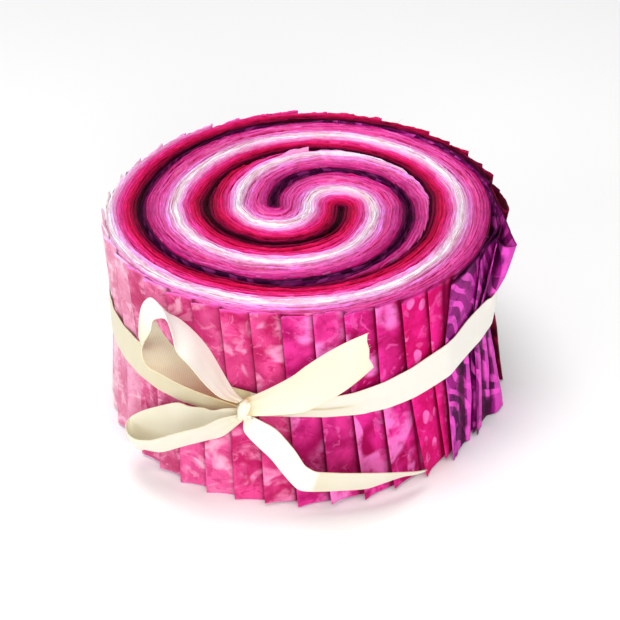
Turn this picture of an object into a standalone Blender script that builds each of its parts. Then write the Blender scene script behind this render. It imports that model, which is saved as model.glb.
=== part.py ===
"""A roll of quilting fabric strips: forty strips, folded double, wound together from an S-shaped centre and tied
with a satin ribbon in a bow. Loose ends of the outermost strips hang in folds at its right side.

Metres, +Z up. The origin is on the roll's axis, on the face that it stands on. The bow is towards -Y.
"""

from math import cos, exp, floor, pi, radians, sin
from typing import NamedTuple

import bmesh
import bpy
import numpy as np
from mathutils import Vector

MM = 0.001

# The strips
STRIP_WIDTH = 63.5 * MM  # cut 2.5 in wide, which is the roll's height
STRIP_COUNT = 40
STRIP_PITCH = 0.48 * MM  # one strip folded double
STACK = STRIP_COUNT * STRIP_PITCH
TURN_GAP = 0.5 * MM  # between one turn of the stack and the next
LOOSE_STRIPS = 3  # the outermost strips, whose ends hang loose

# Where the strips end, as turns of the long and short arm in radians
FIRST_END = radians(3 * 180 + 5)  # of the long arm's outermost strip
END_STEP = radians(9)
LAST_TOOTH = 36  # the strips after this one end in the loose red sheet
SHORT_ARM_START = pi
SHORT_ARM_TAPER = 1.6 * pi
SHORT_ARM_FALL = 1.2
THINNEST_STACK = 1.2 * MM
LOOSEN_FROM = 2.7 * pi
LOOSEN_OVER = 0.2 * pi
SLACK = 2.6 * MM  # that the loose strips take under the last turn
END_FLARE = 0.9 * MM  # how far a strip's free end springs out
END_FLARE_REACH = 3.0 * MM

# The wound form's unevenness
STRETCH = 0.052  # the roll is a little longer across this direction than square to it
CENTRE_STRETCH = 0.17
CENTRE_REACH = 26 * MM
STRETCH_ANGLE = radians(110)
OFF_CENTRE = (0.8 * MM, -0.5 * MM)
WAIST_HEIGHT = 34 * MM  # where the ribbon draws the roll in
WAIST_DEPTH = 1.2 * MM
WAIST_FROM = 44 * MM
WAIST_TO = 56 * MM
LEAN = radians(3)  # of the strips' free ends from top to bottom

CLEARANCE = 0.35 * MM  # between pieces that touch
SHEET_THICKNESS = 1.0 * MM
RIBBON_WIDTH = 12 * MM
RIBBON_THICKNESS = 1.0 * MM
RIBBON_SLACK = 0.6 * MM


class Fold(NamedTuple):
    """A loose sheet's distance from the roll, in millimetres, at one angle round it, in degrees."""

    angle: float
    top: float
    band: float
    bottom: float


PURPLE_END_1 = [
    Fold(13, 1.0, 1.0, 1.0),
    Fold(2, 1.6, 1.0, 1.4),
    Fold(-8, 2.4, 1.0, 1.9),
    Fold(-16, 1.4, 1.0, 1.3),
    Fold(-25, 1.0, 1.0, 1.0),
    Fold(-36, 1.0, 1.0, 1.3),
    Fold(-46, 1.6, 1.0, 3.4),
]
PURPLE_END_2 = [
    Fold(-1, 3.4, 2.4, 3.2),
    Fold(-8, 4.3, 2.4, 3.8),
    Fold(-16, 3.1, 2.4, 3.3),
    Fold(-25, 2.5, 2.4, 2.6),
    Fold(-34, 3.0, 2.4, 3.7),
]
PURPLE_END_3 = [
    Fold(-4, 5.8, 3.8, 5.6),
    Fold(-10, 7.0, 3.8, 7.6),
    Fold(-16, 7.9, 3.8, 8.5),
    Fold(-20, 7.3, 3.8, 7.7),
    Fold(-24, 4.8, 3.8, 5.2),
]
RED_END = [
    Fold(19, 2.6, 2.4, 2.8),
    Fold(11, 3.6, 2.5, 4.2),
    Fold(5, 4.9, 3.0, 6.2),
    Fold(1, 5.8, 3.6, 7.4),
]


class Station(NamedTuple):
    """A place along a stretch of ribbon: degrees round the roll, then millimetres up and out from the roll's axis.

    lean turns the ribbon's width from lying on the roll, 0, to standing out from it, 90. width is in millimetres.
    """

    angle: float
    height: float
    reach: float
    lean: float
    width: float


class Level(NamedTuple):
    """The height of the band's middle, in millimetres, at one angle round the roll, in degrees."""

    angle: float
    height: float


KNOT = Station(-106.5, 34.5, 62.2, 0, 7)
KNOT_SIZE = (7 * MM, 6 * MM, 9 * MM)
KNOT_TILT = radians(35)
BAND = [
    Level(-180, 33.5),
    Level(-145, 35),
    Level(-107, 33.5),
    Level(-75, 34.5),
    Level(-45, 36.5),
    Level(-10, 36),
    Level(60, 36),
    Level(120, 35),
    Level(180, 33.5),
]
UPPER_LOOP = [
    Station(-107.5, 36.5, 63.6, 60, 6),
    Station(-112, 43, 66, 80, 10),
    Station(-117.5, 51.5, 67, 84, 12),
    Station(-124, 57.5, 67.2, 86, 12),
    Station(-129, 58.5, 67.2, 90, 12),
    Station(-131, 53, 67.2, 95, 12),
    Station(-128, 47, 67, 98, 12),
    Station(-121.5, 42, 66, 100, 11),
    Station(-113.5, 38, 64.6, 110, 8),
    Station(-108, 35.5, 63.4, 120, 6),
]
LOWER_LOOP = [
    Station(-107.5, 34, 63.6, 40, 6),
    Station(-114, 31.5, 64, 30, 9),
    Station(-122, 28, 64.4, 28, 12),
    Station(-131, 22, 65, 30, 12),
    Station(-138, 16, 66, 45, 12),
    Station(-139, 12, 68.4, 80, 12),
    Station(-133, 12.5, 69.4, 110, 12),
    Station(-124.5, 18.5, 69.2, 120, 12),
    Station(-115.5, 26, 67.4, 125, 10),
    Station(-108.5, 32, 64, 125, 6),
]
UPPER_TAIL = [
    Station(-105, 35.5, 63, 0, 5),
    Station(-101, 37, 62.6, 4, 7),
    Station(-92, 42.5, 62.4, 6, 11),
    Station(-83, 48, 62.4, 6, 12),
    Station(-74.5, 52.5, 62.6, 6, 12),
]
LOWER_TAIL = [
    Station(-105.5, 33, 63, 0, 5),
    Station(-101.5, 28, 62.6, 0, 8),
    Station(-97, 21.5, 62.4, 0, 10),
    Station(-92.5, 14.5, 62.2, 0, 11),
    Station(-89, 11.5, 62.2, 10, 10),
    Station(-80, 10, 62, 25, 8),
    Station(-70, 9, 61.8, 30, 6),
    Station(-60, 8, 61.4, 30, 3.5),
]
STATION_STEPS = 3  # cross-sections between one station and the next

# Fineness of the faceted solids
STEPS_PER_HALF_TURN = 20
FLARE_STEPS = (3.5, 1.2, 0.0)  # millimetres back from a free end
SHEET_COLUMNS_PER_FOLD = 4
SHEET_ROWS = 6
BAND_STEPS = 72

PURPLE = (0.16, 0.02, 0.16)
DARK_RED = (0.20, 0.01, 0.04)
PINK = (0.62, 0.07, 0.25)
CREAM = (0.86, 0.80, 0.62)


def new_material(name, colour, roughness):
    material = bpy.data.materials.new(name)
    material.use_nodes = True
    shader = material.node_tree.nodes["Principled BSDF"]
    shader.inputs["Base Color"].default_value = (*colour, 1)
    shader.inputs["Roughness"].default_value = roughness
    shader.inputs["Metallic"].default_value = 0.0
    return material


def new_object(name, mesh, material, collection):
    piece = bpy.data.objects.new(name, mesh)
    mesh.materials.clear()
    mesh.materials.append(material)
    collection.objects.link(piece)
    return piece


def ramp(value, start, end):
    """0 before start, 1 after end, smooth between them."""
    share = min(max((value - start) / (end - start), 0.0), 1.0)
    return share * share * (3 - 2 * share)


# The wound stack. A long and a short arm leave the centre on opposite sides. Each half turn of them is an arc about
# one of two hooks, a stack's thickness apart, and lies on all that was wound before it.


def strips_ended(turn):
    """How many of the long arm's strips have ended by this turn."""
    return min(max(floor((turn - FIRST_END) / END_STEP) + 1, 0), STRIP_COUNT)


def long_arm(strips_gone):
    """The long arm's thickness without the strips that have ended or come loose."""
    return (STRIP_COUNT - strips_gone) * STRIP_PITCH


def short_arm(turn):
    """The short arm's thickness, which falls as its strips end one after another."""
    share = min(max((turn - SHORT_ARM_START) / SHORT_ARM_TAPER, 0.0), 1.0)
    return STACK * (1 - share) ** SHORT_ARM_FALL


def space(arm, turn):
    """The thickness that an arm takes from what is wound over it."""
    if arm == "short":
        return short_arm(turn)
    slack = SLACK * ramp(turn, LOOSEN_FROM, LOOSEN_FROM + LOOSEN_OVER)
    return long_arm(strips_ended(turn)) + slack


def inner_radius(arm, turn):
    """The radius of an arm's inner side, from what lies inside it: the other arm and its own last turn, in turns."""
    other = {"long": "short", "short": "long"}
    radius = 0.0
    below = turn - pi
    while below >= 0:
        arm = other[arm]
        radius += space(arm, below)
        below -= pi
    return radius


def wound_point(arm, turn, radius):
    """The plan point at a radius from the hook that this turn of the arm goes round."""
    back = (floor(turn / pi) % 2 == 0) == (arm == "long")
    hook = STACK / 2 if back else -STACK / 2
    angle = (pi if arm == "long" else 0) - turn
    x = hook + radius * cos(angle)
    y = radius * sin(angle)
    stretch = STRETCH + CENTRE_STRETCH * exp(-((x * x + y * y) / CENTRE_REACH**2))
    along = (x * cos(STRETCH_ANGLE) + y * sin(STRETCH_ANGLE)) * stretch
    return (
        x + along * cos(STRETCH_ANGLE) + OFF_CENTRE[0],
        y + along * sin(STRETCH_ANGLE) + OFF_CENTRE[1],
    )


def turns(start, end):
    count = max(2, round((end - start) / pi * STEPS_PER_HALF_TURN))
    return np.linspace(start, end, count + 1)


def long_arm_end():
    return FIRST_END + LAST_TOOTH * END_STEP


def outer_gap(turn):
    """The gap kept to the turn outside, where there is one."""
    return TURN_GAP / 2 * (1 - ramp(turn, long_arm_end() - 1.97 * pi, long_arm_end() - 1.9 * pi))


def loosened(turn):
    """The long arm's strips that have left the wound solid as loose ends."""
    return LOOSE_STRIPS * ramp(turn, LOOSEN_FROM, LOOSEN_FROM + LOOSEN_OVER)


def outer_side(start=0.0):
    """The long arm's outer side from a turn to its last end, with a step at each strip's free end."""
    first = FIRST_END + LOOSE_STRIPS * END_STEP
    points = []
    for turn in turns(start, first - END_STEP / 2):
        thickness = long_arm(loosened(turn))
        points.append(wound_point("long", turn, inner_radius("long", turn) + thickness - outer_gap(turn)))
    for strip in range(LOOSE_STRIPS, LAST_TOOTH + 1):
        end = FIRST_END + strip * END_STEP
        for back in FLARE_STEPS:
            turn = end - back * MM / inner_radius("long", end) - 1e-4
            flare = END_FLARE * exp(-back * MM / END_FLARE_REACH)
            thickness = long_arm(strip)
            points.append(wound_point("long", turn, inner_radius("long", turn) + thickness + flare))
    return points


def side(arm, outer, start, end):
    points = []
    for turn in turns(start, end):
        radius = inner_radius(arm, turn) + (short_arm(turn) - TURN_GAP / 2 if outer else TURN_GAP / 2)
        points.append(wound_point(arm, turn, radius))
    return points


def roll_outline():
    """Out along one side of the long arm and back along its other, then the same round the short arm."""
    thin = (THINNEST_STACK / STACK) ** (1 / SHORT_ARM_FALL)
    short_end = SHORT_ARM_START + SHORT_ARM_TAPER * (1 - thin)
    inner_long = side("long", False, 0, long_arm_end() - 1e-4)
    outer_short = side("short", True, 0, short_end)[1:]
    inner_short = side("short", False, 0, short_end)
    return inner_long + outer_side()[::-1] + inner_short[1:] + outer_short[::-1]


def shaped(x, y, z):
    """A point of the roll, drawn in at the ribbon and turned with height, so that the strips' ends lean."""
    reach = (x * x + y * y) ** 0.5
    above = abs(z - WAIST_HEIGHT) / (STRIP_WIDTH / 2)
    drawn_in = WAIST_DEPTH * max(0.0, 1 - above) * ramp(reach, WAIST_FROM, WAIST_TO)
    scale = 1 - drawn_in / max(reach, 1e-9)
    angle = LEAN * (0.5 - z / STRIP_WIDTH)
    x, y = x * scale, y * scale
    return x * cos(angle) - y * sin(angle), x * sin(angle) + y * cos(angle), z


def make_roll(material, collection):
    outline = roll_outline()
    curve = bpy.data.curves.new("roll_outline", "CURVE")
    curve.dimensions = "2D"
    curve.fill_mode = "BOTH"
    curve.extrude = STRIP_WIDTH / 2
    spline = curve.splines.new("POLY")
    spline.points.add(len(outline) - 1)
    for point, (x, y) in zip(spline.points, outline):
        point.co = (x, y, 0, 1)
    spline.use_cyclic_u = True
    guide = bpy.data.objects.new("roll_outline", curve)
    collection.objects.link(guide)
    mesh = bpy.data.meshes.new_from_object(guide.evaluated_get(bpy.context.evaluated_depsgraph_get()))
    bpy.data.objects.remove(guide)
    cloth = bmesh.new()
    cloth.from_mesh(mesh)
    bmesh.ops.remove_doubles(cloth, verts=cloth.verts, dist=1e-6)
    bmesh.ops.translate(cloth, verts=cloth.verts, vec=(0, 0, STRIP_WIDTH / 2))
    everything = cloth.verts[:] + cloth.edges[:] + cloth.faces[:]
    bmesh.ops.bisect_plane(cloth, geom=everything, plane_co=(0, 0, WAIST_HEIGHT), plane_no=(0, 0, 1))
    for vertex in cloth.verts:
        vertex.co = shaped(*vertex.co)
    bmesh.ops.recalc_face_normals(cloth, faces=cloth.faces)
    cloth.to_mesh(mesh)
    cloth.free()
    return new_object("roll", mesh, material, collection)


def roll_rim():
    """The roll's outermost radius by angle, over its last whole turn: (angles, radii), sorted."""
    points = np.array(outer_side(long_arm_end() - 2 * pi))
    angles = np.arctan2(points[:, 1], points[:, 0])
    order = np.argsort(angles)
    steps = np.linspace(-pi, pi, 181)
    radii = np.interp(steps, angles[order], np.hypot(points[:, 0], points[:, 1])[order], period=2 * pi)
    nearby = [np.roll(radii[:-1], shift) for shift in (-2, -1, 0, 1, 2)]
    highest = np.max(nearby, axis=0)
    return steps, np.append(highest, highest[0])


def tight_radius(angle, rim):
    return float(np.interp((angle + pi) % (2 * pi) - pi, *rim))


def surface(name, columns, rows, place, thickness, material, collection):
    """A sheet of columns by rows cells, each point placed by place(column, row), with a real thickness."""
    mesh = bpy.data.meshes.new(name)
    grid = bmesh.new()
    bmesh.ops.create_grid(grid, x_segments=columns, y_segments=rows, size=0.5)
    for vertex in grid.verts:
        vertex.co = place((vertex.co.x + 0.5) * columns, (vertex.co.y + 0.5) * rows)
    bmesh.ops.recalc_face_normals(grid, faces=grid.faces)
    grid.to_mesh(mesh)
    grid.free()
    piece = new_object(name, mesh, material, collection)
    shell = piece.modifiers.new("thickness", "SOLIDIFY")
    shell.thickness = thickness
    shell.offset = 0
    return piece


def smooth(table, position):
    """A row of a table read at a fractional position, on a smooth curve through the rows."""
    index = min(int(position), len(table) - 2)
    share = position - index
    rows = [np.array(table[min(max(index + step, 0), len(table) - 1)], float) for step in (-1, 0, 1, 2)]
    before, here, after, beyond = rows
    slope_in = (after - before) / 2
    slope_out = (beyond - here) / 2
    cube, square = share**3, share**2
    return (
        (2 * cube - 3 * square + 1) * here
        + (cube - 2 * square + share) * slope_in
        + (3 * square - 2 * cube) * after
        + (cube - square) * slope_out
    )


def make_loose_end(name, folds, rim, material, collection):
    """A strip's end that stands free of the roll above and below the ribbon."""
    columns = (len(folds) - 1) * SHEET_COLUMNS_PER_FOLD

    def place(column, row):
        fold = Fold(*smooth(folds, column / SHEET_COLUMNS_PER_FOLD))
        height = CLEARANCE + (STRIP_WIDTH - 2 * CLEARANCE) * row / SHEET_ROWS
        upwards = fold.band + (fold.top - fold.band) * ramp(height, WAIST_HEIGHT, STRIP_WIDTH)
        downwards = fold.band + (fold.bottom - fold.band) * ramp(-height, -WAIST_HEIGHT, 0)
        gap = upwards if height > WAIST_HEIGHT else downwards
        angle = radians(fold.angle)
        radius = tight_radius(angle, rim) + gap * MM
        return shaped(radius * cos(angle), radius * sin(angle), height)

    return surface(name, columns, SHEET_ROWS, place, SHEET_THICKNESS, material, collection)


def station_frame(station):
    """A station's point, and the outward direction there."""
    angle = radians(station.angle)
    outward = Vector((cos(angle), sin(angle), 0))
    return outward * station.reach * MM + Vector((0, 0, station.height * MM)), outward


def make_stretch(name, stations, material, collection):
    """A stretch of ribbon through its stations, turned by their lean."""
    columns = (len(stations) - 1) * STATION_STEPS

    def read(position):
        return Station(*smooth(stations, min(max(position, 0), len(stations) - 1)))

    def place(column, row):
        position = column / STATION_STEPS
        station = read(position)
        centre, outward = station_frame(station)
        along = station_frame(read(position + 0.1))[0] - station_frame(read(position - 0.1))[0]
        across = along.cross(outward).normalized()
        out = across.cross(along).normalized()
        lean = radians(station.lean)
        width = (across * cos(lean) + out * sin(lean)) * station.width * MM
        return centre + width * (row - 0.5)

    return surface(name, columns, 1, place, RIBBON_THICKNESS, material, collection)


def make_band(rim, material, collection):
    """The closed band of ribbon round the roll and its loose ends."""
    angles, heights = zip(*BAND)

    def wrapped_radius(angle):
        """Clear of every layer within reach of this angle, because a taut band bridges what lies between them."""
        reach = 0.0
        for step in range(-15, 16):
            near = angle + radians(step)
            layers = 0.0
            for folds in LOOSE_ENDS.values():
                at = [fold.angle for fold in folds]
                if min(at) - 1 <= np.degrees(near) <= max(at) + 1:
                    layers = max(layers, max(fold.band for fold in folds) * MM + SHEET_THICKNESS / 2)
            bridging = cos(radians(step))
            reach = max(reach, (tight_radius(near, rim) - WAIST_DEPTH * 0.6 + layers) * bridging)
        return reach + CLEARANCE + RIBBON_SLACK + RIBBON_THICKNESS / 2

    steps = np.linspace(-pi, pi, BAND_STEPS, endpoint=False)
    radii = np.array([wrapped_radius(step) for step in steps])
    radii = (np.roll(radii, 1) + radii * 2 + np.roll(radii, -1)) / 4
    ring = bmesh.new()
    rows = []
    for step, radius in zip(steps, radii):
        height = float(np.interp(np.degrees(step), angles, heights)) * MM
        foot = height - RIBBON_WIDTH / 2
        rows.append([ring.verts.new((radius * cos(step), radius * sin(step), foot + up)) for up in (0, RIBBON_WIDTH)])
    for here, after in zip(rows, rows[1:] + rows[:1]):
        ring.faces.new((here[0], after[0], after[1], here[1]))
    mesh = bpy.data.meshes.new("ribbon")
    ring.to_mesh(mesh)
    ring.free()
    band = new_object("ribbon", mesh, material, collection)
    shell = band.modifiers.new("thickness", "SOLIDIFY")
    shell.thickness = RIBBON_THICKNESS
    shell.offset = 0
    return band


def make_knot(material, collection):
    """The crossing turn of ribbon that holds the bow: a rounded block over the band."""
    mesh = bpy.data.meshes.new("knot")
    block = bmesh.new()
    bmesh.ops.create_cube(block, size=1)
    bmesh.ops.scale(block, vec=KNOT_SIZE, verts=block.verts)
    block.to_mesh(mesh)
    block.free()
    knot = new_object("knot", mesh, material, collection)
    knot.location = station_frame(KNOT)[0]
    knot.rotation_euler = (0, -KNOT_TILT, radians(KNOT.angle + 90))
    rounding = knot.modifiers.new("rounding", "BEVEL")
    rounding.width = 1.6 * MM
    rounding.segments = 2
    return knot


def make_ribbon(rim, material, parts, cutters):
    """Band, knot, loops and tails, joined into one length of ribbon."""
    ribbon = make_band(rim, material, parts)
    added = [make_knot(material, cutters)]
    for name, stations in (
        ("upper_loop", UPPER_LOOP),
        ("lower_loop", LOWER_LOOP),
        ("upper_tail", UPPER_TAIL),
        ("lower_tail", LOWER_TAIL),
    ):
        added.append(make_stretch(name, stations, material, cutters))
    for piece in added:
        piece.hide_render = True
        piece.display_type = "WIRE"
        join = ribbon.modifiers.new(piece.name, "BOOLEAN")
        join.operation = "UNION"
        join.solver = "MANIFOLD"
        join.object = piece
    return ribbon


LOOSE_ENDS = {
    "purple_end_1": PURPLE_END_1,
    "purple_end_2": PURPLE_END_2,
    "purple_end_3": PURPLE_END_3,
    "red_end": RED_END,
}


def main():
    for piece in list(bpy.data.objects):
        bpy.data.objects.remove(piece)
    parts = bpy.data.collections.new("fabric_strip_roll")
    cutters = bpy.data.collections.new("ribbon_stretches")
    bpy.context.scene.collection.children.link(parts)
    bpy.context.scene.collection.children.link(cutters)
    purple = new_material("purple_batik", PURPLE, 0.85)
    red = new_material("dark_red_batik", DARK_RED, 0.85)
    make_roll(new_material("pink_batik", PINK, 0.85), parts)
    rim = roll_rim()
    for name, folds in LOOSE_ENDS.items():
        make_loose_end(name, folds, rim, red if name == "red_end" else purple, parts)
    make_ribbon(rim, new_material("cream_satin", CREAM, 0.4), parts, cutters)


main()
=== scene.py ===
"""The looks of the fabric strip roll: forty batik strips, their loose ends and the satin ribbon.

Metres, +Z up, in the frame's own coordinates. The winding is the one that the CAD solid was made with.
"""

from math import cos, pi, radians, sin
from typing import NamedTuple

import bpy
import numpy as np
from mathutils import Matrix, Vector


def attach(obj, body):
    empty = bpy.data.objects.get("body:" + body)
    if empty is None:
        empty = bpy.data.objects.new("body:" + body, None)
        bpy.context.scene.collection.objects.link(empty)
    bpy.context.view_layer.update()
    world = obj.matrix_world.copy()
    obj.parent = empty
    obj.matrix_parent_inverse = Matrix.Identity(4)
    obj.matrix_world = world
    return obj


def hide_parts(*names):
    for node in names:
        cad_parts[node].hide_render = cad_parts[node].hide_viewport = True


MM = 0.001
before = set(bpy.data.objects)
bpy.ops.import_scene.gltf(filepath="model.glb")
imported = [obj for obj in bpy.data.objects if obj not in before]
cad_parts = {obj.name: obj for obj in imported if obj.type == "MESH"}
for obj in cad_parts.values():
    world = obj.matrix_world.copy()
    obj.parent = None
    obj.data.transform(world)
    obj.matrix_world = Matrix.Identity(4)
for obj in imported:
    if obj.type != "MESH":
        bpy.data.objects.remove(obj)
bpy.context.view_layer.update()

# The winding, as the CAD solid has it
STRIP_WIDTH = 63.5 * MM
STRIP_COUNT = 40
STRIP_PITCH = 0.48 * MM
STACK = STRIP_COUNT * STRIP_PITCH
FIRST_END = radians(545)
END_STEP = radians(9)
SHORT_ARM_START = pi
SHORT_ARM_TAPER = 1.6 * pi
SHORT_ARM_FALL = 1.2
LOOSEN_FROM = 2.7 * pi
LOOSEN_OVER = 0.2 * pi
SLACK = 2.6 * MM
STRETCH = 0.052
CENTRE_STRETCH = 0.17
CENTRE_REACH = 26 * MM
STRETCH_ANGLE = radians(110)
OFF_CENTRE = (0.8 * MM, -0.5 * MM)
WAIST_HEIGHT = 34 * MM
WAIST_DEPTH = 1.2 * MM
WAIST_FROM = 44 * MM
WAIST_TO = 56 * MM
LEAN = radians(3)
ROLL_RADIUS = 57 * MM  # about, where an angle is turned into a length

# Strips with something of their own. They are numbered from the purple side, from 0.
LOOSE_STRIPS = 3  # the first ones, whose ends are the loose ends
COVERED_STRIPS = (3, 4, 5)  # under the first loose end's free edge, whose shadow is painted on them
PROUD_STRIP = 25  # its end in the short arm stands above the others
FIRST_TUCKED = 35  # from this one on, the red ends are drawn in over the purple ones
TUCK = 2.2 * MM
TUCK_FROM = radians(852)
TUCK_TO = radians(880)
LAST_STRIP = STRIP_COUNT - 1
RED_LOOP_AT = radians(886)  # where the last strip goes over into its open loop


# ---------------------------------------------------------------- helpers


def rows_of(kind, *rows):
    """A table with kind's named columns."""
    return [kind(*row) for row in rows]


def ramp(value, start, end):
    """0 before start, 1 after end, smooth between them."""
    share = np.clip((np.asarray(value, float) - start) / (end - start), 0.0, 1.0)
    return share * share * (3 - 2 * share)


def bell(value, width):
    return np.exp(-((value / width) ** 2))


def fading(distance, over):
    return np.exp(-distance / over)


def rounding(distance, over, least):
    """How much of its thickness cloth has near a rounded end. least is the square of the share left at the
    end."""
    return np.sqrt(np.clip(1 - (1 - np.clip(distance / over, 0, 1)) ** 2, least, 1))


def running_total(steps):
    return np.concatenate([[0], np.cumsum(steps)])


def smoothed(line, over, mode):
    """The running mean over an odd number of points. mode is how numpy's pad goes on past the line's ends."""
    return np.convolve(np.pad(line, over // 2, mode), np.ones(over) / over, "valid")


def wave_noise(where, count, shortest, longest, generator):
    """A smooth random line along `where`: sines of random length, about 1 in size."""
    total = np.zeros_like(where)
    for _ in range(count):
        length = shortest * (longest / shortest) ** generator.random()
        total += np.sin(where * 2 * pi / length + generator.random() * 2 * pi)
    return total / np.sqrt(count / 2)


def directions(points):
    """The unit directions along a line of points, or along each row of a grid."""
    ahead = np.gradient(points, axis=0)
    return ahead / np.linalg.norm(ahead, axis=-1, keepdims=True)


def curve_through(stations, positions):
    """Points of a smooth curve through stations, which may be arrays, at positions counted in stations."""
    stations = np.asarray(stations, float)
    slope = np.gradient(stations, axis=0)
    index = np.clip(np.floor(positions).astype(int), 0, len(stations) - 2)
    share = (positions - index).reshape(positions.shape + (1,) * (stations.ndim - 1))
    square, cube = share**2, share**3
    return (
        (2 * cube - 3 * square + 1) * stations[index]
        + (cube - 2 * square + share) * slope[index]
        + (3 * square - 2 * cube) * stations[index + 1]
        + (cube - square) * slope[index + 1]
    )


def even_positions(stations, spacing):
    """Positions, counted in stations, about spacing apart along a curve of points, and the curve's length."""
    fine = np.linspace(0, len(stations) - 1, 40 * len(stations))
    length = running_total(np.linalg.norm(np.diff(curve_through(stations, fine), axis=0), axis=1))
    count = max(2, round(length[-1] / spacing))
    return np.interp(np.linspace(0, length[-1], count + 1), length, fine), length[-1]


def add_object(name, data):
    made = bpy.data.objects.new(name, data)
    bpy.context.scene.collection.objects.link(made)
    return made


def grid_faces(columns, rows):
    """Quads of a tube of points stored column by column, with its last row joined to its first."""
    column = np.arange(columns - 1)[:, None] * rows
    row = np.arange(rows)[None, :]
    after = (row + 1) % rows
    corners = (column + row, column + rows + row, column + rows + after, column + after)
    return np.stack([corner.ravel() for corner in corners], 1)


def thread_faces(rings, first):
    """The faces of a thread of three-sided rings with closed ends. first is its first point's number."""
    end = first + 3 * (rings - 1)
    sides = (grid_faces(rings, 3) + first).tolist()
    return [*sides, [first + 2, first + 1, first], [end, end + 1, end + 2]]


THREAD_RING = np.array([0, 2, 4]) * pi / 3


def cloth_piece(name, points, faces, sharp, material, uv, **values):
    """A piece of cloth with its coordinates in the cloth and its shader values, one for each vertex."""
    mesh = bpy.data.meshes.new(name)
    mesh.from_pydata(points.tolist(), [], faces)
    mesh.validate()
    piece = add_object(name, mesh)
    mesh.shade_smooth()
    mesh.set_sharp_from_angle(angle=sharp)
    layer = mesh.uv_layers.new(name="cloth")
    loops = np.zeros(len(mesh.loops), np.int32)
    mesh.loops.foreach_get("vertex_index", loops)
    layer.data.foreach_set("uv", uv.astype(np.float32)[loops].ravel())
    for key, numbers in values.items():
        mesh.attributes.new(key, "FLOAT", "POINT").data.foreach_set("value", numbers.astype(np.float32))
    mesh.materials.append(material)
    return piece


# ---------------------------------------------------------------- the winding


def short_arm(turn):
    """The short arm's thickness."""
    share = np.clip((turn - SHORT_ARM_START) / SHORT_ARM_TAPER, 0.0, 1.0)
    return STACK * (1 - share) ** SHORT_ARM_FALL


def long_arm(turn):
    """The long arm's thickness, with the slack of its loosened last part."""
    ended = np.clip(np.floor((turn - FIRST_END) / END_STEP) + 1, 0, STRIP_COUNT)
    return (STRIP_COUNT - ended) * STRIP_PITCH + SLACK * ramp(turn, LOOSEN_FROM, LOOSEN_FROM + LOOSEN_OVER)


def inner_radius(arm, turn):
    """The radius of an arm's inner side, from what lies inside it."""
    other = {"long": "short", "short": "long"}
    thickness = {"long": long_arm, "short": short_arm}
    radius = np.zeros_like(turn)
    below = turn - pi
    while np.any(below >= 0):
        arm = other[arm]
        radius += np.where(below >= 0, thickness[arm](np.maximum(below, 0)), 0.0)
        below = below - pi
    return radius


def wound_point(arm, turn, radius):
    """A point of the winding in plan. Each half turn has its centre on one of the two hooks of the S."""
    back = (np.floor(turn / pi) % 2 == 0) == (arm == "long")
    hook = np.where(back, STACK / 2, -STACK / 2)
    angle = (pi if arm == "long" else 0) - turn
    x = hook + radius * np.cos(angle)
    y = radius * np.sin(angle)
    stretch = STRETCH + CENTRE_STRETCH * np.exp(-((x * x + y * y) / CENTRE_REACH**2))
    along = (x * cos(STRETCH_ANGLE) + y * sin(STRETCH_ANGLE)) * stretch
    return (
        x + along * cos(STRETCH_ANGLE) + OFF_CENTRE[0],
        y + along * sin(STRETCH_ANGLE) + OFF_CENTRE[1],
    )


def waist(height):
    """How far the ribbon draws the roll in at a height."""
    return WAIST_DEPTH * np.clip(1 - np.abs(height - WAIST_HEIGHT) / (STRIP_WIDTH / 2), 0, None)


def shaped(x, y, z):
    """Drawn in at the ribbon, and turned a little with height."""
    reach = np.hypot(x, y)
    scale = 1 - waist(z) * ramp(reach, WAIST_FROM, WAIST_TO) / np.maximum(reach, 1e-9)
    angle = LEAN * (0.5 - z / STRIP_WIDTH)
    x, y = x * scale, y * scale
    return x * np.cos(angle) - y * np.sin(angle), x * np.sin(angle) + y * np.cos(angle), z


class Ripple(NamedTuple):
    """A sideways wave of the whole stack: its lengths over x and y and its size, in millimetres, and its
    phase."""

    over_x: float
    over_y: float
    size: float
    phase: float


RIPPLES = rows_of(
    Ripple,
    (13, 31, 0.14, 0.4),
    (-17, 11, 0.11, 2.1),
    (9, -14, 0.06, 4.0),
    (7.5, 8.5, 0.03, 1.2),
    (-6.2, 9.5, 0.03, 5.1),
)
RIPPLE_STEER = 1.7  # a ripple's direction, for a phase of 1


def rippled(x, y):
    """The stack's unevenness in plan, which dies out at its rim."""
    inside = 1 - ramp(np.hypot(x, y), 40 * MM, 54 * MM)
    dx, dy = np.zeros_like(x), np.zeros_like(y)
    for wave in RIPPLES:
        swing = np.sin(2 * pi * (x / wave.over_x + y / wave.over_y) / MM + wave.phase) * wave.size * MM
        dx += swing * cos(wave.phase * RIPPLE_STEER)
        dy += swing * sin(wave.phase * RIPPLE_STEER)
    return x + dx * inside, y + dy * inside


# ---------------------------------------------------------------- walls of cloth


class Rim(NamedTuple):
    """A row of a folded strip's cut edge: its place across in plies, its drop in millimetres, and how much
    it shows the cut, from 0 to 1."""

    across: float
    down: float
    edge: float


TOP_RIM = rows_of(
    Rim,
    (1.0, 0.10, 0.5),
    (0.75, 0.0, 1),
    (0.3, 0.03, 1),
    (0.0, 0.42, 0.6),
    (-0.3, 0.03, 1),
    (-0.75, 0.0, 1),
    (-1.0, 0.10, 0.5),
)
BOTTOM_RIM = rows_of(Rim, (-0.7, 0.0, 1), (0.0, 0.3, 0), (0.7, 0.0, 1))
CRESTS = (1, 5)  # the top rim's highest row on each ply
LAST_ROW_DROP = 0.75 * MM  # from the top line to a face's last row
LAST_ROW_FROM = 61 * MM
FIRST_ROW_TO = 1 * MM


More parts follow.
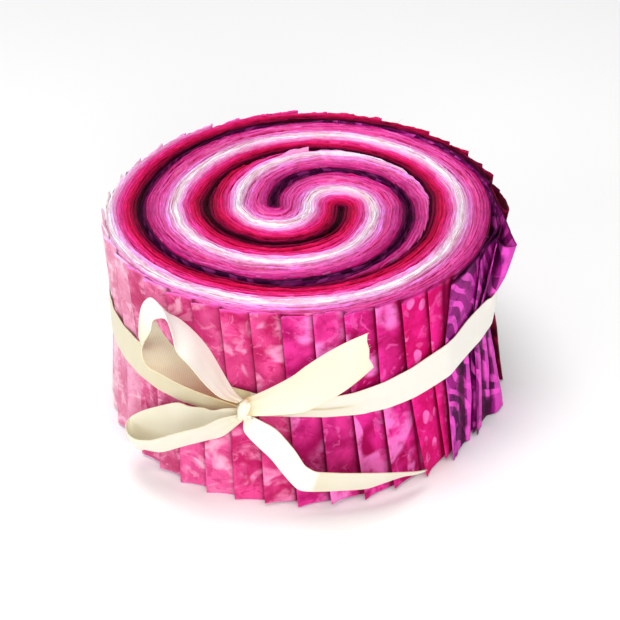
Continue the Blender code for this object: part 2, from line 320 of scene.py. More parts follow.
def profile(outer, inner):
    """A wall's closed section, over the top from its outer face to its inner one, with rows at these heights
    in millimetres: each row's part, its place across in plies, its height or drop, and how much it shows the
    cut."""
    rows = [("face", 1.0, height, 0.0) for height in outer]
    rows += [("top", *rim) for rim in TOP_RIM]
    rows += [("face", -1.0, height, 0.0) for height in inner]
    rows += [("bottom", *rim) for rim in BOTTOM_RIM]
    part, across, drop, edge = (np.array(column) for column in zip(*rows))
    return part, across, drop * MM, edge


def row_height(part, side, drop, tops, under_tops, foot):
    """A row's height at each column. tops are the top lines of the inner ply, the fold line and the outer
    ply, and under_tops are the lines that the faces' last rows keep below."""
    line = int(np.sign(side)) + 1
    if part == "top":
        return tops[line] - drop
    if part == "bottom" or drop < FIRST_ROW_TO:
        return foot + drop
    if drop > LAST_ROW_FROM:
        return under_tops[line] - LAST_ROW_DROP
    return np.full_like(foot, drop)


def wall_faces(columns, outer, inner):
    """A wall's faces, those at its two ends included. outer and inner are how many rows its two sides
    have."""
    rim, foot = len(TOP_RIM), len(BOTTOM_RIM)
    crest, face, low = outer + rim // 2, outer + rim, outer + rim + inner
    count = low + foot
    pairs = np.round(np.linspace(0, outer - 1, inner)).astype(int)
    ends = []
    for step in range(inner - 1):
        back = low - 1 - step
        ends.append([*range(pairs[step], pairs[step + 1] + 1), back - 1, back])
    ends += [
        [*range(outer - 1, crest + 1)],
        [*range(crest, face + 1)],
        [outer - 1, crest, face],
        [low - 1, low, low + 1],
        [low + 1, low + foot - 1, 0],
        [low - 1, low + 1, 0],
    ]
    faces = grid_faces(columns, count).tolist()
    for face in ends:
        faces += [face[::-1], [(columns - 1) * count + row for row in face]]
    return faces


def wall_uv(left, across, height, start):
    """Coordinates in the cloth: the length left to the free end, and the height. The inner ply is another
    stretch."""
    along = np.repeat(left, len(across)) + np.tile(np.where(across > 0, 0.0, 0.5), len(left)) + start
    return np.stack([along, height.ravel()], 1)


# ---------------------------------------------------------------- the strips

COLUMN_LENGTH = 1.5 * MM
INNER_COLUMN = 1.0 * MM  # in the tight turns round the middle
TIGHT_TURN = 1.2 * pi
END_ZONE = 13 * MM
END_COLUMN = 0.6 * MM
TIP = 1.2 * MM  # the last stretch, whose columns TIP_COLUMNS places
TIP_COLUMNS = (0.9, 0.6, 0.35, 0.18, 0.07, 0.0)  # millimetres left to the free end
PLY = 0.225 * MM  # half the thickness of a strip folded double
OUTER_ROWS = (0.35, 5, 12, 20, 28, 34, 40, 48, 56, 62.6)  # heights in millimetres
INNER_ROWS = (62.6, 48, 34, 20, 0.35)
COVER = (-33.5, -38.5)  # the first loose end's free edge in degrees of the winding, at its foot and its top
FRONT_GAP_FROM = np.radians((555, 590))  # the last strips sink here, which leaves a wide gap at the front
FRONT_GAP_TO = np.radians((655, 700))
FIBRES = 26


class PanelEnd(NamedTuple):
    """How one strip's end panel stands: the strip, its end's lean over the whole height in degrees, and how
    far its free edge springs out at the top, at the ribbon and at the bottom, in millimetres."""

    strip: int
    lean: float
    top: float
    band: float
    bottom: float


PANEL_ENDS = rows_of(
    PanelEnd,
    (3, 7, 0.4, 0.2, 0.8),
    (4, 8, 0.5, 0.2, 1),
    (5, 7.5, 0.9, 0.3, 2),
    (6, 4.5, 0.9, 0.3, 2),
    (7, 3.2, 0.9, 0.3, 2.1),
    (8, 2.2, 0.9, 0.3, 2.2),
    (9, 1, 0.9, 0.3, 2),
    (10, 0.5, 0.8, 0.3, 1.8),
    (12, 0, 0.9, 0.3, 1.8),
    (14, 0, 0.8, 0.3, 1.6),
    (17, -0.5, 0.8, 0.3, 1.4),
    (24, 0, 0.8, 0.3, 1.3),
    (32, 0, 0.9, 0.3, 1.3),
    (39, 0, 1.2, 0.4, 1.5),
)


def panel_end(strip):
    table = np.array(PANEL_ENDS, float)
    return PanelEnd(strip, *(float(np.interp(strip, table[:, 0], column)) for column in table[:, 1:].T))


def strip_point(strip, turn, outward):
    """A strip's point in plan. turn is negative along the short arm. outward is towards the purple side."""
    turn, outward = np.broadcast_arrays(np.asarray(turn, float), np.asarray(outward, float))
    from_red, from_purple = (STRIP_COUNT - strip - 0.5) * STRIP_PITCH, (strip + 0.5) * STRIP_PITCH
    long_turn, short_turn = np.maximum(turn, 0), np.maximum(-turn, 0)
    x1, y1 = wound_point("long", long_turn, inner_radius("long", long_turn) + from_red + outward)
    x2, y2 = wound_point("short", short_turn, inner_radius("short", short_turn) + from_purple - outward)
    return rippled(np.where(turn >= 0, x1, x2), np.where(turn >= 0, y1, y2))


def strip_turns(strip):
    """The turns of a strip's columns, from its short-arm end to its long-arm end, and the lengths left to
    that."""
    share = (strip + 0.5) / STRIP_COUNT
    short_end = SHORT_ARM_START + SHORT_ARM_TAPER * (1 - share ** (1 / SHORT_ARM_FALL))
    if strip == PROUD_STRIP:
        short_end -= radians(17)
    long_end = FIRST_END + strip * END_STEP
    if strip < LOOSE_STRIPS:
        long_end = LOOSEN_FROM + LOOSEN_OVER - radians(4)
    if strip == LAST_STRIP:
        long_end = RED_LOOP_AT
    fine = np.concatenate([-np.linspace(short_end, 0.01, 900), np.linspace(0.0, long_end, 2400)])
    length = running_total(np.hypot(*np.diff(strip_point(strip, fine, 0.0))))
    whole = length[-1]
    tight = np.interp([-TIGHT_TURN, TIGHT_TURN], fine, length)
    wanted = np.concatenate([
        np.arange(0, tight[0], COLUMN_LENGTH),
        np.arange(tight[0], tight[1], INNER_COLUMN),
        np.arange(tight[1], whole - END_ZONE, COLUMN_LENGTH),
        np.arange(whole - END_ZONE, whole - TIP, END_COLUMN),
        whole - np.array(TIP_COLUMNS) * MM,
    ])
    return np.interp(wanted, length, fine), whole - wanted


def front_gap(strip, turn):
    """How much the wide gap at the front takes a strip in, from 0 to 1."""
    return (strip > LAST_STRIP - 2) * ramp(turn, *FRONT_GAP_FROM) * (1 - ramp(turn, *FRONT_GAP_TO))


def strip_lines(strip, turn, left, own):
    """The top lines of a strip's outer and inner ply, and its foot line."""
    along = left[0] - left
    shift = own.uniform(-0.45, 0.45) * MM + 0.16 * MM * wave_noise(along, 5, 18 * MM, 90 * MM, own)
    plies = []
    for _ in range(2):
        plies.append(0.10 * MM * wave_noise(along, 6, 3 * MM, 14 * MM, own) + own.uniform(-0.12, 0.12) * MM)
    fray = own.normal(0, 0.05 * MM, (len(turn), 2))
    if strip in (0, LAST_STRIP):  # the dark line where the arms meet
        shift = shift - 1.1 * MM * ramp(left, 20 * MM, 60 * MM)
    shift = shift - 1.5 * MM * front_gap(strip, turn)
    foot = np.clip(shift + 0.45 * MM, 0.02 * MM, None)
    # the short-arm ends sink among their neighbours, but for one that stands proud
    if strip == PROUD_STRIP:
        shift = shift + 1.2 * MM * np.exp(-((along / (7.5 * MM)) ** 6))
    else:
        shift = shift - 1.0 * MM * fading(along, 1.8 * MM)
    outer, inner = (STRIP_WIDTH + shift + plies[side] + fray[:, side] for side in range(2))
    return outer, inner, foot


def sprung(end, height):
    """How far a strip's free edge springs out, in millimetres, above and below the ribbon."""
    rise = np.clip((height - WAIST_HEIGHT) / (STRIP_WIDTH - WAIST_HEIGHT), 0, 1)
    fall = np.clip((WAIST_HEIGHT - height) / WAIST_HEIGHT, 0, 1)
    spring = end.band + (end.top - end.band) * rise**1.5 + (end.bottom - end.band) * fall**1.6
    return spring * 0.6 if end.strip >= FIRST_TUCKED else spring


def shade_beside(strip, turned, height):
    """The painted shadow on the strip's outer face by the free edge of the cloth over it, from 0 to 1."""
    shade = np.zeros_like(height)
    if LOOSE_STRIPS < strip < LAST_STRIP:
        above = panel_end(strip - 1)
        over = FIRST_END + (strip - 1) * END_STEP + radians(above.lean) * (height / STRIP_WIDTH - 0.5)
        into = (over - turned) * ROLL_RADIUS
        width = np.interp(strip, [4, 11, 16], [1.6, 1.3, 1.0]) * MM
        shade = np.maximum(bell(into, width) * (0.55 + 0.45 * (into > 0)), bell(into, 0.55 * MM))
    if strip in COVERED_STRIPS:
        cover = 3 * pi - np.radians(np.interp(height, [0, STRIP_WIDTH], COVER))
        shade = np.maximum(shade, bell((cover - turned) * ROLL_RADIUS, 1.2 * MM))
    return shade


def make_fibres(roots, first, own):
    """Fine broken threads that stand off a cut edge, of four rings each, one at each root."""
    points, faces = [], []
    steps = np.array([0.0, 0.35, 0.7, 1.0])
    radius = 0.035 * MM * (1 - 0.5 * steps)[:, None, None]
    for index, root in enumerate(roots):
        heading = own.uniform(0, 2 * pi)
        reach = own.uniform(0.5, 1.3) * MM * (3 if own.random() < 0.07 else 1)
        bend = heading + own.uniform(-1.8, 1.8)
        x = reach * (steps * cos(heading) * 0.6 + steps**2 * cos(bend) * 0.4)
        y = reach * (steps * sin(heading) * 0.6 + steps**2 * sin(bend) * 0.4)
        lift = own.uniform(0.1, 0.45) * MM
        line = root + np.stack([x, y, lift * np.sin(steps * 2.2)], 1)
        flat = np.cos(THREAD_RING)
        ring = np.stack([flat * -sin(heading), flat * cos(heading), np.sin(THREAD_RING)], 1)
        points.append((line[:, None] + ring * radius).reshape(-1, 3))
        faces += thread_faces(len(steps), first + index * 3 * len(steps))
    return np.concatenate(points), faces


def make_strip(strip, fabric):
    """One strip of the roll. Returns its piece and its points without the stray fibres."""
    own = np.random.default_rng(100 + strip)
    turn, left = strip_turns(strip)
    end = panel_end(strip)
    part, across, drop, edge = profile(OUTER_ROWS, INNER_ROWS)
    columns, count = len(turn), len(part)
    outer, inner, foot = strip_lines(strip, turn, left, own)
    tops = (inner, np.minimum(outer, inner), outer)
    rows = [row_height(*row, tops, tops, foot) for row in zip(part, across, drop)]
    height = np.stack(rows, 1)

    # the folded end: its plies part a little and close in a round fold
    gape = (0.9 if strip >= FIRST_TUCKED else 0.35) * MM * bell(left, 2.4 * MM)
    closing = rounding(left, 0.9 * MM, 0.0004)
    middle = gape * (1 - closing) * 0.5
    outward = ((PLY + gape) * closing + middle)[:, None]
    inward = (-PLY * closing + middle)[:, None]
    sideways = np.where(across > 0, across * outward, -across * inward)
    jitter = 1 + 0.2 * own.uniform(-1, 1)
    sideways = sideways + sprung(end, height) * jitter * MM * fading(left, 3.2 * MM)[:, None]
    lean = radians(end.lean + own.uniform(-0.4, 0.4)) * ramp(-left, -22 * MM, -2 * MM)[:, None]
    turned = turn[:, None] + lean * (height / STRIP_WIDTH - 0.5)
    if strip >= FIRST_TUCKED:
        sideways = sideways - TUCK * ramp(turned, TUCK_FROM, TUCK_TO)
    x, y = strip_point(strip, turned, sideways)
    points = np.stack(shaped(x, y, height), -1).reshape(-1, 3)

    # painted shade on the outer face: the shadow of the free edge over it
    under = shade_beside(strip, turned, height) * (across > 0)
    if strip < 2 or strip > LAST_STRIP - 2:  # painted shade along the top, as if in the shadow between the turns, and more in the gap at the front where the arms meet
        dark = (0.7 if strip < 2 else 0.3) * (left > 60 * MM) + 0.4 * front_gap(strip, turn)
        under = np.maximum(under, dark[:, None] * (height > STRIP_WIDTH - 5 * MM))
    uv = wall_uv(left, across, height, 0.0737 * strip)
    crests = np.nonzero(part == "top")[0][list(CRESTS)]
    roots = own.integers(4, columns - 4, FIBRES) * count + own.choice(crests, FIBRES)
    fibres, fibre_faces = make_fibres(points[roots], len(points), own)
    piece = cloth_piece(
        f"strip_{strip + 1:02d}",
        np.concatenate([points, fibres]),
        wall_faces(columns, len(OUTER_ROWS), len(INNER_ROWS)) + fibre_faces,
        radians(45),
        fabric,
        np.concatenate([uv, np.repeat(uv[roots], len(fibres) // FIBRES, axis=0)]),
        edge=np.concatenate([np.tile(edge, columns), np.ones(len(fibres))]),
        under=np.concatenate([under.ravel(), np.zeros(len(fibres))]),
    )
    return piece, points


# ---------------------------------------------------------------- tables of the loose ends and the ribbon


class Crease(NamedTuple):
    """A fold line down a loose end: degrees round the roll at its top, at the ribbon and at its foot, then
    how many millimetres it stands off the wound strips at its top, between, at the ribbon, below it and at
    its foot."""

    top: float
    band: float
    foot: float
    off_top: float
    off_upper: float
    off_band: float
    off_lower: float
    off_foot: float


CREASE_ANGLE_HEIGHTS = (63.5, 38, 0)
CREASE_OFF_HEIGHTS = (63.5, 51, 39, 20, 0)
PURPLE_END_1 = rows_of(
    Crease,
    (19, 19, 19, 0.3, 0.3, 0.3, 0.3, 0.3),
    (8, 8, 8, 0.4, 0.4, 0.4, 0.4, 0.4),
    (1, 1, 1, 0.5, 0.5, 0.4, 0.4, 0.5),
    (-6, -6, -4, 1.3, 0.8, 0.4, 0.6, 0.9),
    (-12, -11, -9, 2.2, 1.1, 0.4, 0.9, 1.5),
    (-16, -15, -13, 1.7, 0.9, 0.4, 0.7, 1.2),
    (-20, -19, -17, 1, 0.7, 0.4, 0.5, 0.6),
    (-24.5, -23.5, -21, 0.5, 0.5, 0.4, 0.8, 0.9),
    (-27.5, -27.5, -24, 0.6, 0.6, 0.5, 1.7, 1.5),
    (-29.5, -30, -26.5, 1, 0.8, 0.5, 0.6, 0.6),
    (-32, -32.8, -30, 0.7, 0.8, 0.6, 1.9, 1.7),
    (-35, -35.5, -33, 0.7, 0.7, 0.5, 0.7, 0.9),
    (-40.5, -40, -37, 1.1, 0.9, 0.7, 1, 1.3),
    (-47, -46, -41.5, 1.7, 1.3, 0.9, 1.8, 2.4),
)
PURPLE_END_2 = rows_of(
    Crease,
    (17, 17, 17, 0.8, 0.8, 0.8, 0.8, 0.8),
    (8, 8, 8, 0.95, 0.95, 0.95, 0.95, 0.95),
    (1, 1, 1, 1.1, 1, 0.9, 0.9, 1.1),
    (-7, -7, -6, 2.3, 1.6, 0.9, 1.3, 1.8),
    (-13, -12, -11, 3.1, 1.8, 0.9, 1.7, 2.3),
    (-17.5, -16, -14.5, 2.9, 1.8, 0.9, 1.4, 2.00),
    (-21, -19.5, -18, 1.9, 1.4, 0.9, 1.1, 1.4),
    (-24, -23, -21, 1.2, 1.1, 0.9, 1.4, 1.6),
    (-28, -27, -24.5, 1.5, 1.4, 1, 2.2, 2.1),
    (-31.3, -30.5, -27.5, 2.00, 1.8, 1.2, 1.4, 1.7),
)
PURPLE_END_3 = rows_of(
    Crease,
    (15, 15, 15, 1.3, 1.3, 1.3, 1.3, 1.3),
    (8, 8, 8, 1.4, 1.4, 1.4, 1.4, 1.4),
    (2, 2, 2, 1.6, 1.5, 1.4, 1.6, 2.00),
    (-3, -4, -3, 2.9, 2.2, 1.4, 2.4, 4.4),
    (-7, -8, -6.5, 3.9, 2.9, 1.5, 3.2, 6.4),
    (-12, -11.5, -9.5, 5.3, 3.8, 1.6, 4.00, 7.3),
    (-17.5, -15, -12.5, 7.5, 5.3, 1.8, 4.4, 7.1),
    (-20, -17, -14.2, 8.7, 6.3, 2.3, 3.4, 6.5),
    (-21.8, -19, -15.8, 7.6, 5.6, 2.5, 2.6, 5.00),
    (-22.2, -20.5, -17, 6.00, 4.5, 2.4, 3.6, 3.6),
    (-21, -22, -18.5, 4.4, 3.4, 2.2, 2.8, 2.9),
    (-19.8, -24, -20.5, 3.5, 2.6, 2.00, 2.00, 2.6),
    (-20.5, -27, -24, 3.4, 2.5, 1.8, 3.2, 2.9),
    (-21.5, -29.5, -27.5, 3.6, 2.6, 1.8, 2.9, 3.1),
)
RED_END = rows_of(
    Crease,
    (12.5, 12.5, 12.5, 2.15, 2.1, 2.05, 2.15, 2.4),
    (8.5, 8.5, 9, 2.1, 2.05, 2.00, 2.2, 2.9),
    (4.5, 5, 6.5, 2.2, 2.1, 2.00, 2.4, 3.6),
    (1, 2, 4, 2.6, 2.3, 2.05, 2.9, 4.7),
    (-1.8, -0.2, 2, 3.4, 2.8, 2.15, 3.7, 6.00),
    (-3.2, -1.6, 0.9, 4.4, 3.3, 2.4, 4.4, 7.00),
    (-3.4, -1.8, 1, 4.9, 3.7, 2.75, 4.8, 7.5),
    (-2.4, -1.2, 1.8, 5.2, 3.9, 2.95, 5.00, 7.6),
    (0.2, 0.8, 3.6, 5.00, 3.8, 2.95, 4.6, 7.1),
    (3, 3.2, 5.6, 4.7, 3.6, 2.85, 4.2, 6.3),
    (5.8, 6, 8, 4.2, 3.4, 2.75, 3.8, 5.4),
    (9, 9, 10.6, 3.6, 3.1, 2.65, 3.4, 4.4),
    (12.5, 12.5, 13, 3.05, 2.8, 2.55, 2.95, 3.5),
)


class Section(NamedTuple):
    """The ribbon from edge to edge at one place along it: for its near edge, its middle and its far edge,
    the degrees round the roll, then the millimetres up and out from the roll's axis."""

    near_angle: float
    near_height: float
    near_reach: float
    middle_angle: float
    middle_height: float
    middle_reach: float
    far_angle: float
    far_height: float
    far_reach: float


# The loops and the tails began as a scratch script's printout, worked out from points picked by eye in the
# photo. Most of their places were then moved, and 55 of 186 weren't. The knot was retyped after the same
# worked-out points. The band and the creases above were typed in.
UPPER_LOOP = rows_of(
    Section,
    (-105.4, 38.2, 62, -105.6, 38.9, 63.6, -105.8, 39.6, 65.2),
    (-108.1, 40.9, 61.5, -108.5, 42.1, 65, -108.7, 43.1, 68.6),
    (-111, 45.7, 61, -111.1, 46.9, 65.9, -111.1, 47.7, 70.8),
    (-114.7, 52.3, 61, -114.3, 53.6, 66.8, -114, 54.4, 72.8),
    (-119.1, 56.7, 61, -118.1, 58.2, 66.7, -117, 57.5, 72.5),
    (-123.7, 58.9, 61, -121.8, 61.3, 66.1, -118.8, 61.4, 70.9),
    (-127.8, 58.4, 61, -125.9, 63.1, 64.1, -121.9, 62.9, 68),
    (-130.9, 57.5, 61, -130.3, 63.2, 62.8, -126.7, 59.3, 65),
    (-132.1, 55.6, 61, -132.1, 60.7, 64.1, -127.4, 58.7, 66),
    (-130.6, 54.4, 61, -131.9, 57, 65.9, -126.6, 57, 67.9),
    (-128.5, 51.8, 61, -131, 52.4, 66.4, -127.4, 54, 69.6),
    (-125.6, 49.1, 61, -127.6, 50.2, 66.6, -126.8, 52.2, 71.6),
    (-122.6, 46.3, 61, -124.7, 46.8, 66.4, -125.3, 48.9, 72),
    (-119.6, 43.7, 61, -121.1, 45, 66.6, -121.8, 47.5, 71.6),
    (-116.2, 40.6, 61, -117.1, 42.1, 65.7, -118.1, 44.6, 69.6),
    (-112.4, 39, 61.5, -112.8, 40.5, 64.9, -113.1, 42.4, 68.1),
    (-106.4, 37.2, 62, -106.2, 37.9, 63.6, -106, 38.6, 65.2),
)
LOWER_LOOP = rows_of(
    Section,
    (-105.8, 35.6, 62, -105.6, 34.2, 63, -105.8, 32.6, 62.4),
    (-110.5, 34, 61.6, -110.2, 30.8, 62.4, -110.5, 26.8, 61.9),
    (-113.9, 32, 61.2, -113.7, 28, 61.7, -114.1, 23.1, 61.4),
    (-117.1, 31.6, 60.9, -117.6, 25.7, 60.7, -118, 19.9, 60.9),
    (-121, 30.5, 60.9, -121.1, 24.5, 61.1, -121.2, 18.5, 61.2),
    (-125.1, 30, 60.9, -125, 24, 61.4, -124.6, 17.8, 62),
    (-131.8, 25.4, 60.9, -131.4, 19.5, 61.4, -130.7, 13.4, 62),
    (-137.9, 20.6, 61.2, -136.4, 15.6, 62.2, -134.9, 9.6, 62.3),
    (-141.9, 16.5, 62.7, -139.6, 12.5, 63.6, -137.7, 7.3, 62.6),
    (-139.8, 16.9, 66, -140.2, 11.7, 65.2, -139.2, 7, 63),
    (-135.9, 17.9, 68.8, -138, 13.2, 66.6, -138.4, 8.2, 63.7),
    (-132.2, 18.9, 70, -134.4, 14.3, 67.2, -136.4, 9.5, 64.1),
    (-128.6, 20.6, 70, -130.3, 15.9, 66.9, -132.1, 11.2, 64),
    (-125.4, 22.9, 70, -126.7, 18, 66.9, -128.2, 13.2, 64),
    (-121.2, 26.6, 70, -122.3, 21.8, 66.8, -123.3, 17, 63.6),
    (-117.2, 29.8, 70, -118.3, 24.9, 66.8, -119.3, 20, 63.5),
    (-113.3, 32.1, 69, -114.1, 27.2, 65.9, -115, 22.5, 62.6),
    (-110.2, 33.8, 66, -110.3, 29.4, 64, -110.8, 25, 62),
    (-105.6, 34.8, 63.4, -105.6, 33, 62.8, -105.8, 31.2, 62),
)
UPPER_TAIL = rows_of(
    Section,
    (-105, 37.6, 62, -104.6, 36.6, 63.6, -104.2, 35.8, 65),
    (-104.3, 39.3, 62, -103.7, 38.2, 64.2, -103.1, 36.6, 66),
    (-102, 40.7, 61.8, -101.2, 39.8, 64.6, -100.5, 37.6, 66.9),
    (-97.9, 43.5, 61.5, -96.8, 42.3, 65.2, -96, 39.6, 68.3),
    (-93, 47.2, 61.3, -91.5, 45.8, 66, -90.3, 42.3, 70.2),
    (-89.6, 50.5, 61.2, -87.9, 48.7, 66.6, -86.6, 45.6, 71.4),
    (-85.6, 53.8, 61.2, -83.9, 51.7, 66.5, -82.4, 48.8, 71.4),
    (-81.6, 56.6, 61.4, -80.2, 54.6, 66.9, -79.7, 52.3, 72.3),
    (-78.2, 58.6, 61.8, -77.8, 56.7, 67.5, -78, 54.9, 73),
    (-75.4, 60.2, 62.5, -76.1, 58.3, 68, -76.9, 56.6, 73.4),
)
LOWER_TAIL = rows_of(
    Section,
    (-105, 32.2, 62.6, -104.4, 33.8, 63.4, -103.8, 35.2, 63.8),
    (-105.2, 28.6, 62.4, -103.9, 31.6, 63.2, -102.6, 34.4, 63.4),
    (-103.9, 25.6, 61.8, -102, 29.4, 62.7, -100.3, 33.2, 63.4),
    (-101.2, 22, 61.3, -98.9, 27, 62.8, -96.9, 31.8, 64.4),
    (-98.5, 18.6, 61, -96.3, 23.7, 63.1, -94.3, 28.9, 65.2),
    (-96, 14.6, 61, -94, 20.1, 63.2, -92.1, 25.4, 65.6),
    (-93.5, 10.8, 61, -91.9, 16.1, 63.2, -90.2, 21.3, 65.7),
    (-91.6, 8.5, 61, -90.4, 13.9, 63, -89, 19.2, 65),
    (-89.6, 7.9, 61, -88.5, 13.3, 63.6, -87.4, 18.7, 65.9),
    (-86.6, 7.7, 61, -86.2, 13.1, 63.6, -85.7, 18.5, 66.1),
    (-80.2, 7.3, 60.9, -80.5, 12.7, 63.6, -80.8, 17.9, 66.4),
    (-73.6, 6.6, 60.8, -74.4, 11.7, 63.4, -75.2, 16.7, 66.3),
    (-68.8, 7, 60.6, -69.4, 11, 63.3, -69.8, 14.9, 65.8),
    (-63.1, 7.3, 60.6, -63.4, 9.4, 62.2, -63.8, 11.4, 63.7),
    (-59.3, 6.4, 60.6, -59.5, 7.6, 61.5, -59.7, 8.8, 62.2),
    (-56, 6.2, 60.8, -56.1, 6.5, 61, -56.1, 6.8, 61.1),
)
KNOT = rows_of(
    Section,
    (-106.4, 36.2, 59.8, -105, 37.6, 60.2, -103.5, 38.2, 60),
    (-106.3, 37.5, 62.6, -104.8, 38.9, 63.4, -103.1, 39, 62.8),
    (-106, 37, 64.4, -104.4, 38.2, 65.4, -102.8, 38.2, 64.8),
    (-105.8, 35, 65, -104.2, 36, 66, -102.6, 36.2, 65.4),
    (-105.7, 33, 63.8, -104.1, 33.8, 64.6, -102.6, 34.2, 64),
    (-105.6, 31.8, 61.2, -104.1, 32.5, 61.6, -102.6, 32.9, 61.2),
)


class Level(NamedTuple):
    """The height of the band's lower and upper edge, in millimetres, at one angle round the roll, in
    degrees."""

    angle: float
    lower: float
    upper: float


BAND = rows_of(
    Level,
    (-180, 28.6, 40.2),
    (-163, 28.6, 40.2),
    (-150, 28.3, 40),
    (-136, 27.8, 39.8),
    (-120, 28.3, 39.2),
    (-107, 29.6, 38.2),
    (-96, 30.8, 37.2),
    (-88, 30.6, 36.8),
    (-80, 30, 37),
    (-71, 29.4, 38),
    (-64, 29.3, 39.2),
    (-58, 29.5, 40.4),
    (-51, 30.4, 42),
    (-44, 31.8, 43.6),
    (-37, 33.2, 45),
    (-30, 34.2, 46),
    (-15, 35, 46.6),
    (5, 34.6, 46.2),
    (35, 32.6, 44.2),
    (75, 30.6, 42.2),
    (125, 29, 40.8),
    (160, 28.6, 40.3),
    (180, 28.6, 40.2),
)
# The band's painted shade by degrees from the knot: most by the knot and on the left, least at the front
# right
BAND_SHADE = [(0, 0.55), (4, 0.25), (40, 0.08), (80, 0.04), (180, 0.2), (300, 0.54), (345, 0.62), (360, 0.8)]


class Run(NamedTuple):
    """A run of the ribbon: its sections, how far it keeps clear of the cloth in millimetres, how deep its
    lengthwise gathers are at its start and its end, its fraying threads, its random seed, its painted shade
    by share of its length, and how far the cut at its end runs on, by share across, in millimetres."""

    sections: list
    clear: float
    pleats: tuple
    threads: int
    seed: int
    tone: list
    cut: list


# the ribbon's painted shade along each run, by share of its length
UPPER_LOOP_SHADE = [
    (0, 0.5), (0.06, 0.15), (0.3, 0.02), (0.48, 0.02), (0.56, 0.3), (0.62, 0.5), (0.8, 0.6), (0.94, 0.8),
    (1, 1.0),
]
LOWER_LOOP_SHADE = [
    (0, 0.7), (0.06, 0.3), (0.25, 0.28), (0.42, 0.34), (0.5, 0.36), (0.56, 0.26), (0.9, 0.24), (1, 0.5)
]
UPPER_TAIL_SHADE = [(0, 1.2), (0.05, 0.9), (0.11, 0.5), (0.3, 0.42), (0.7, 0.46), (1, 0.4)]
LOWER_TAIL_SHADE = [
    (0, 0.4), (0.06, 0.05), (0.42, 0.0), (0.445, 0.0), (0.46, 0.5), (0.55, 0.4), (0.7, 0.32), (1, 0.3)
]
KNOT_SHADE = [(0, 0.7), (0.25, 0.34), (0.5, 0.2), (0.75, 0.34), (1, 0.8)]
# how far the upper tail's cut runs on past its last section, by share across, in millimetres
UPPER_CUT = [(0.0, 0.6), (0.18, 0.1), (0.45, 0.5), (0.7, 0.1), (0.85, 1.0), (1.0, 1.4)]
RUNS = rows_of(
    Run,
    (UPPER_LOOP, 0.35, (0.3, 0.3), 0, 3, UPPER_LOOP_SHADE, None),
    (LOWER_LOOP, 0.75, (0.3, 0.3), 0, 4, LOWER_LOOP_SHADE, None),
    (UPPER_TAIL, 0.95, (0.35, 0.0), 6, 5, UPPER_TAIL_SHADE, UPPER_CUT),
    (LOWER_TAIL, 0.8, (0.3, 0.0), 5, 6, LOWER_TAIL_SHADE, None),
    (KNOT, 0.9, (0.22, 0.22), 0, 7, KNOT_SHADE, None),
)


# ---------------------------------------------------------------- the loose ends

LOOSE_ROWS = [0.35, *np.linspace(3, 60, 20), 62.6]  # heights in millimetres


def tight_radius(angle):
    """The outer side of the wound strips under the loose ends, by angle in degrees, before the waist."""
    turn = 3 * pi - np.radians(np.linspace(-75, 45, 400))
    x, y = wound_point("long", turn, inner_radius("long", turn) + (STRIP_COUNT - LOOSE_STRIPS) * STRIP_PITCH)
    found = np.degrees(np.arctan2(y, x))
    order = np.argsort(found)
    return np.interp(angle, found[order], np.hypot(x, y)[order])


def crease_points(creases, height):
    """Where each crease stands in plan at a height, in metres."""
    table = np.array(creases, float)
    at = height / MM
    angle = np.array([np.interp(-at, -np.array(CREASE_ANGLE_HEIGHTS), row[:3]) for row in table])
    level = np.interp(-at, -np.array(CREASE_OFF_HEIGHTS), np.arange(5.0))
    off = np.array([float(curve_through(row[3:], np.array(level))) for row in table]) * MM
    reach = tight_radius(angle) - waist(height) + off
    angle = np.radians(angle)
    return np.stack([reach * np.cos(angle), reach * np.sin(angle)], 1)


def crinkle(bearing, height):
    """Small slanting folds, above and below the ribbon, by bearing in degrees."""
    slack = 0.3 * ramp(height, 42 * MM, 52 * MM) + 1 - ramp(height, 22 * MM, 34 * MM)
    large = 0.13 * MM * np.sin(2 * pi * (bearing / 3.9 + height / (19 * MM)) + 0.8)
    return slack * (large + 0.05 * MM * np.sin(2 * pi * (bearing / 2.3 - height / (27 * MM))))


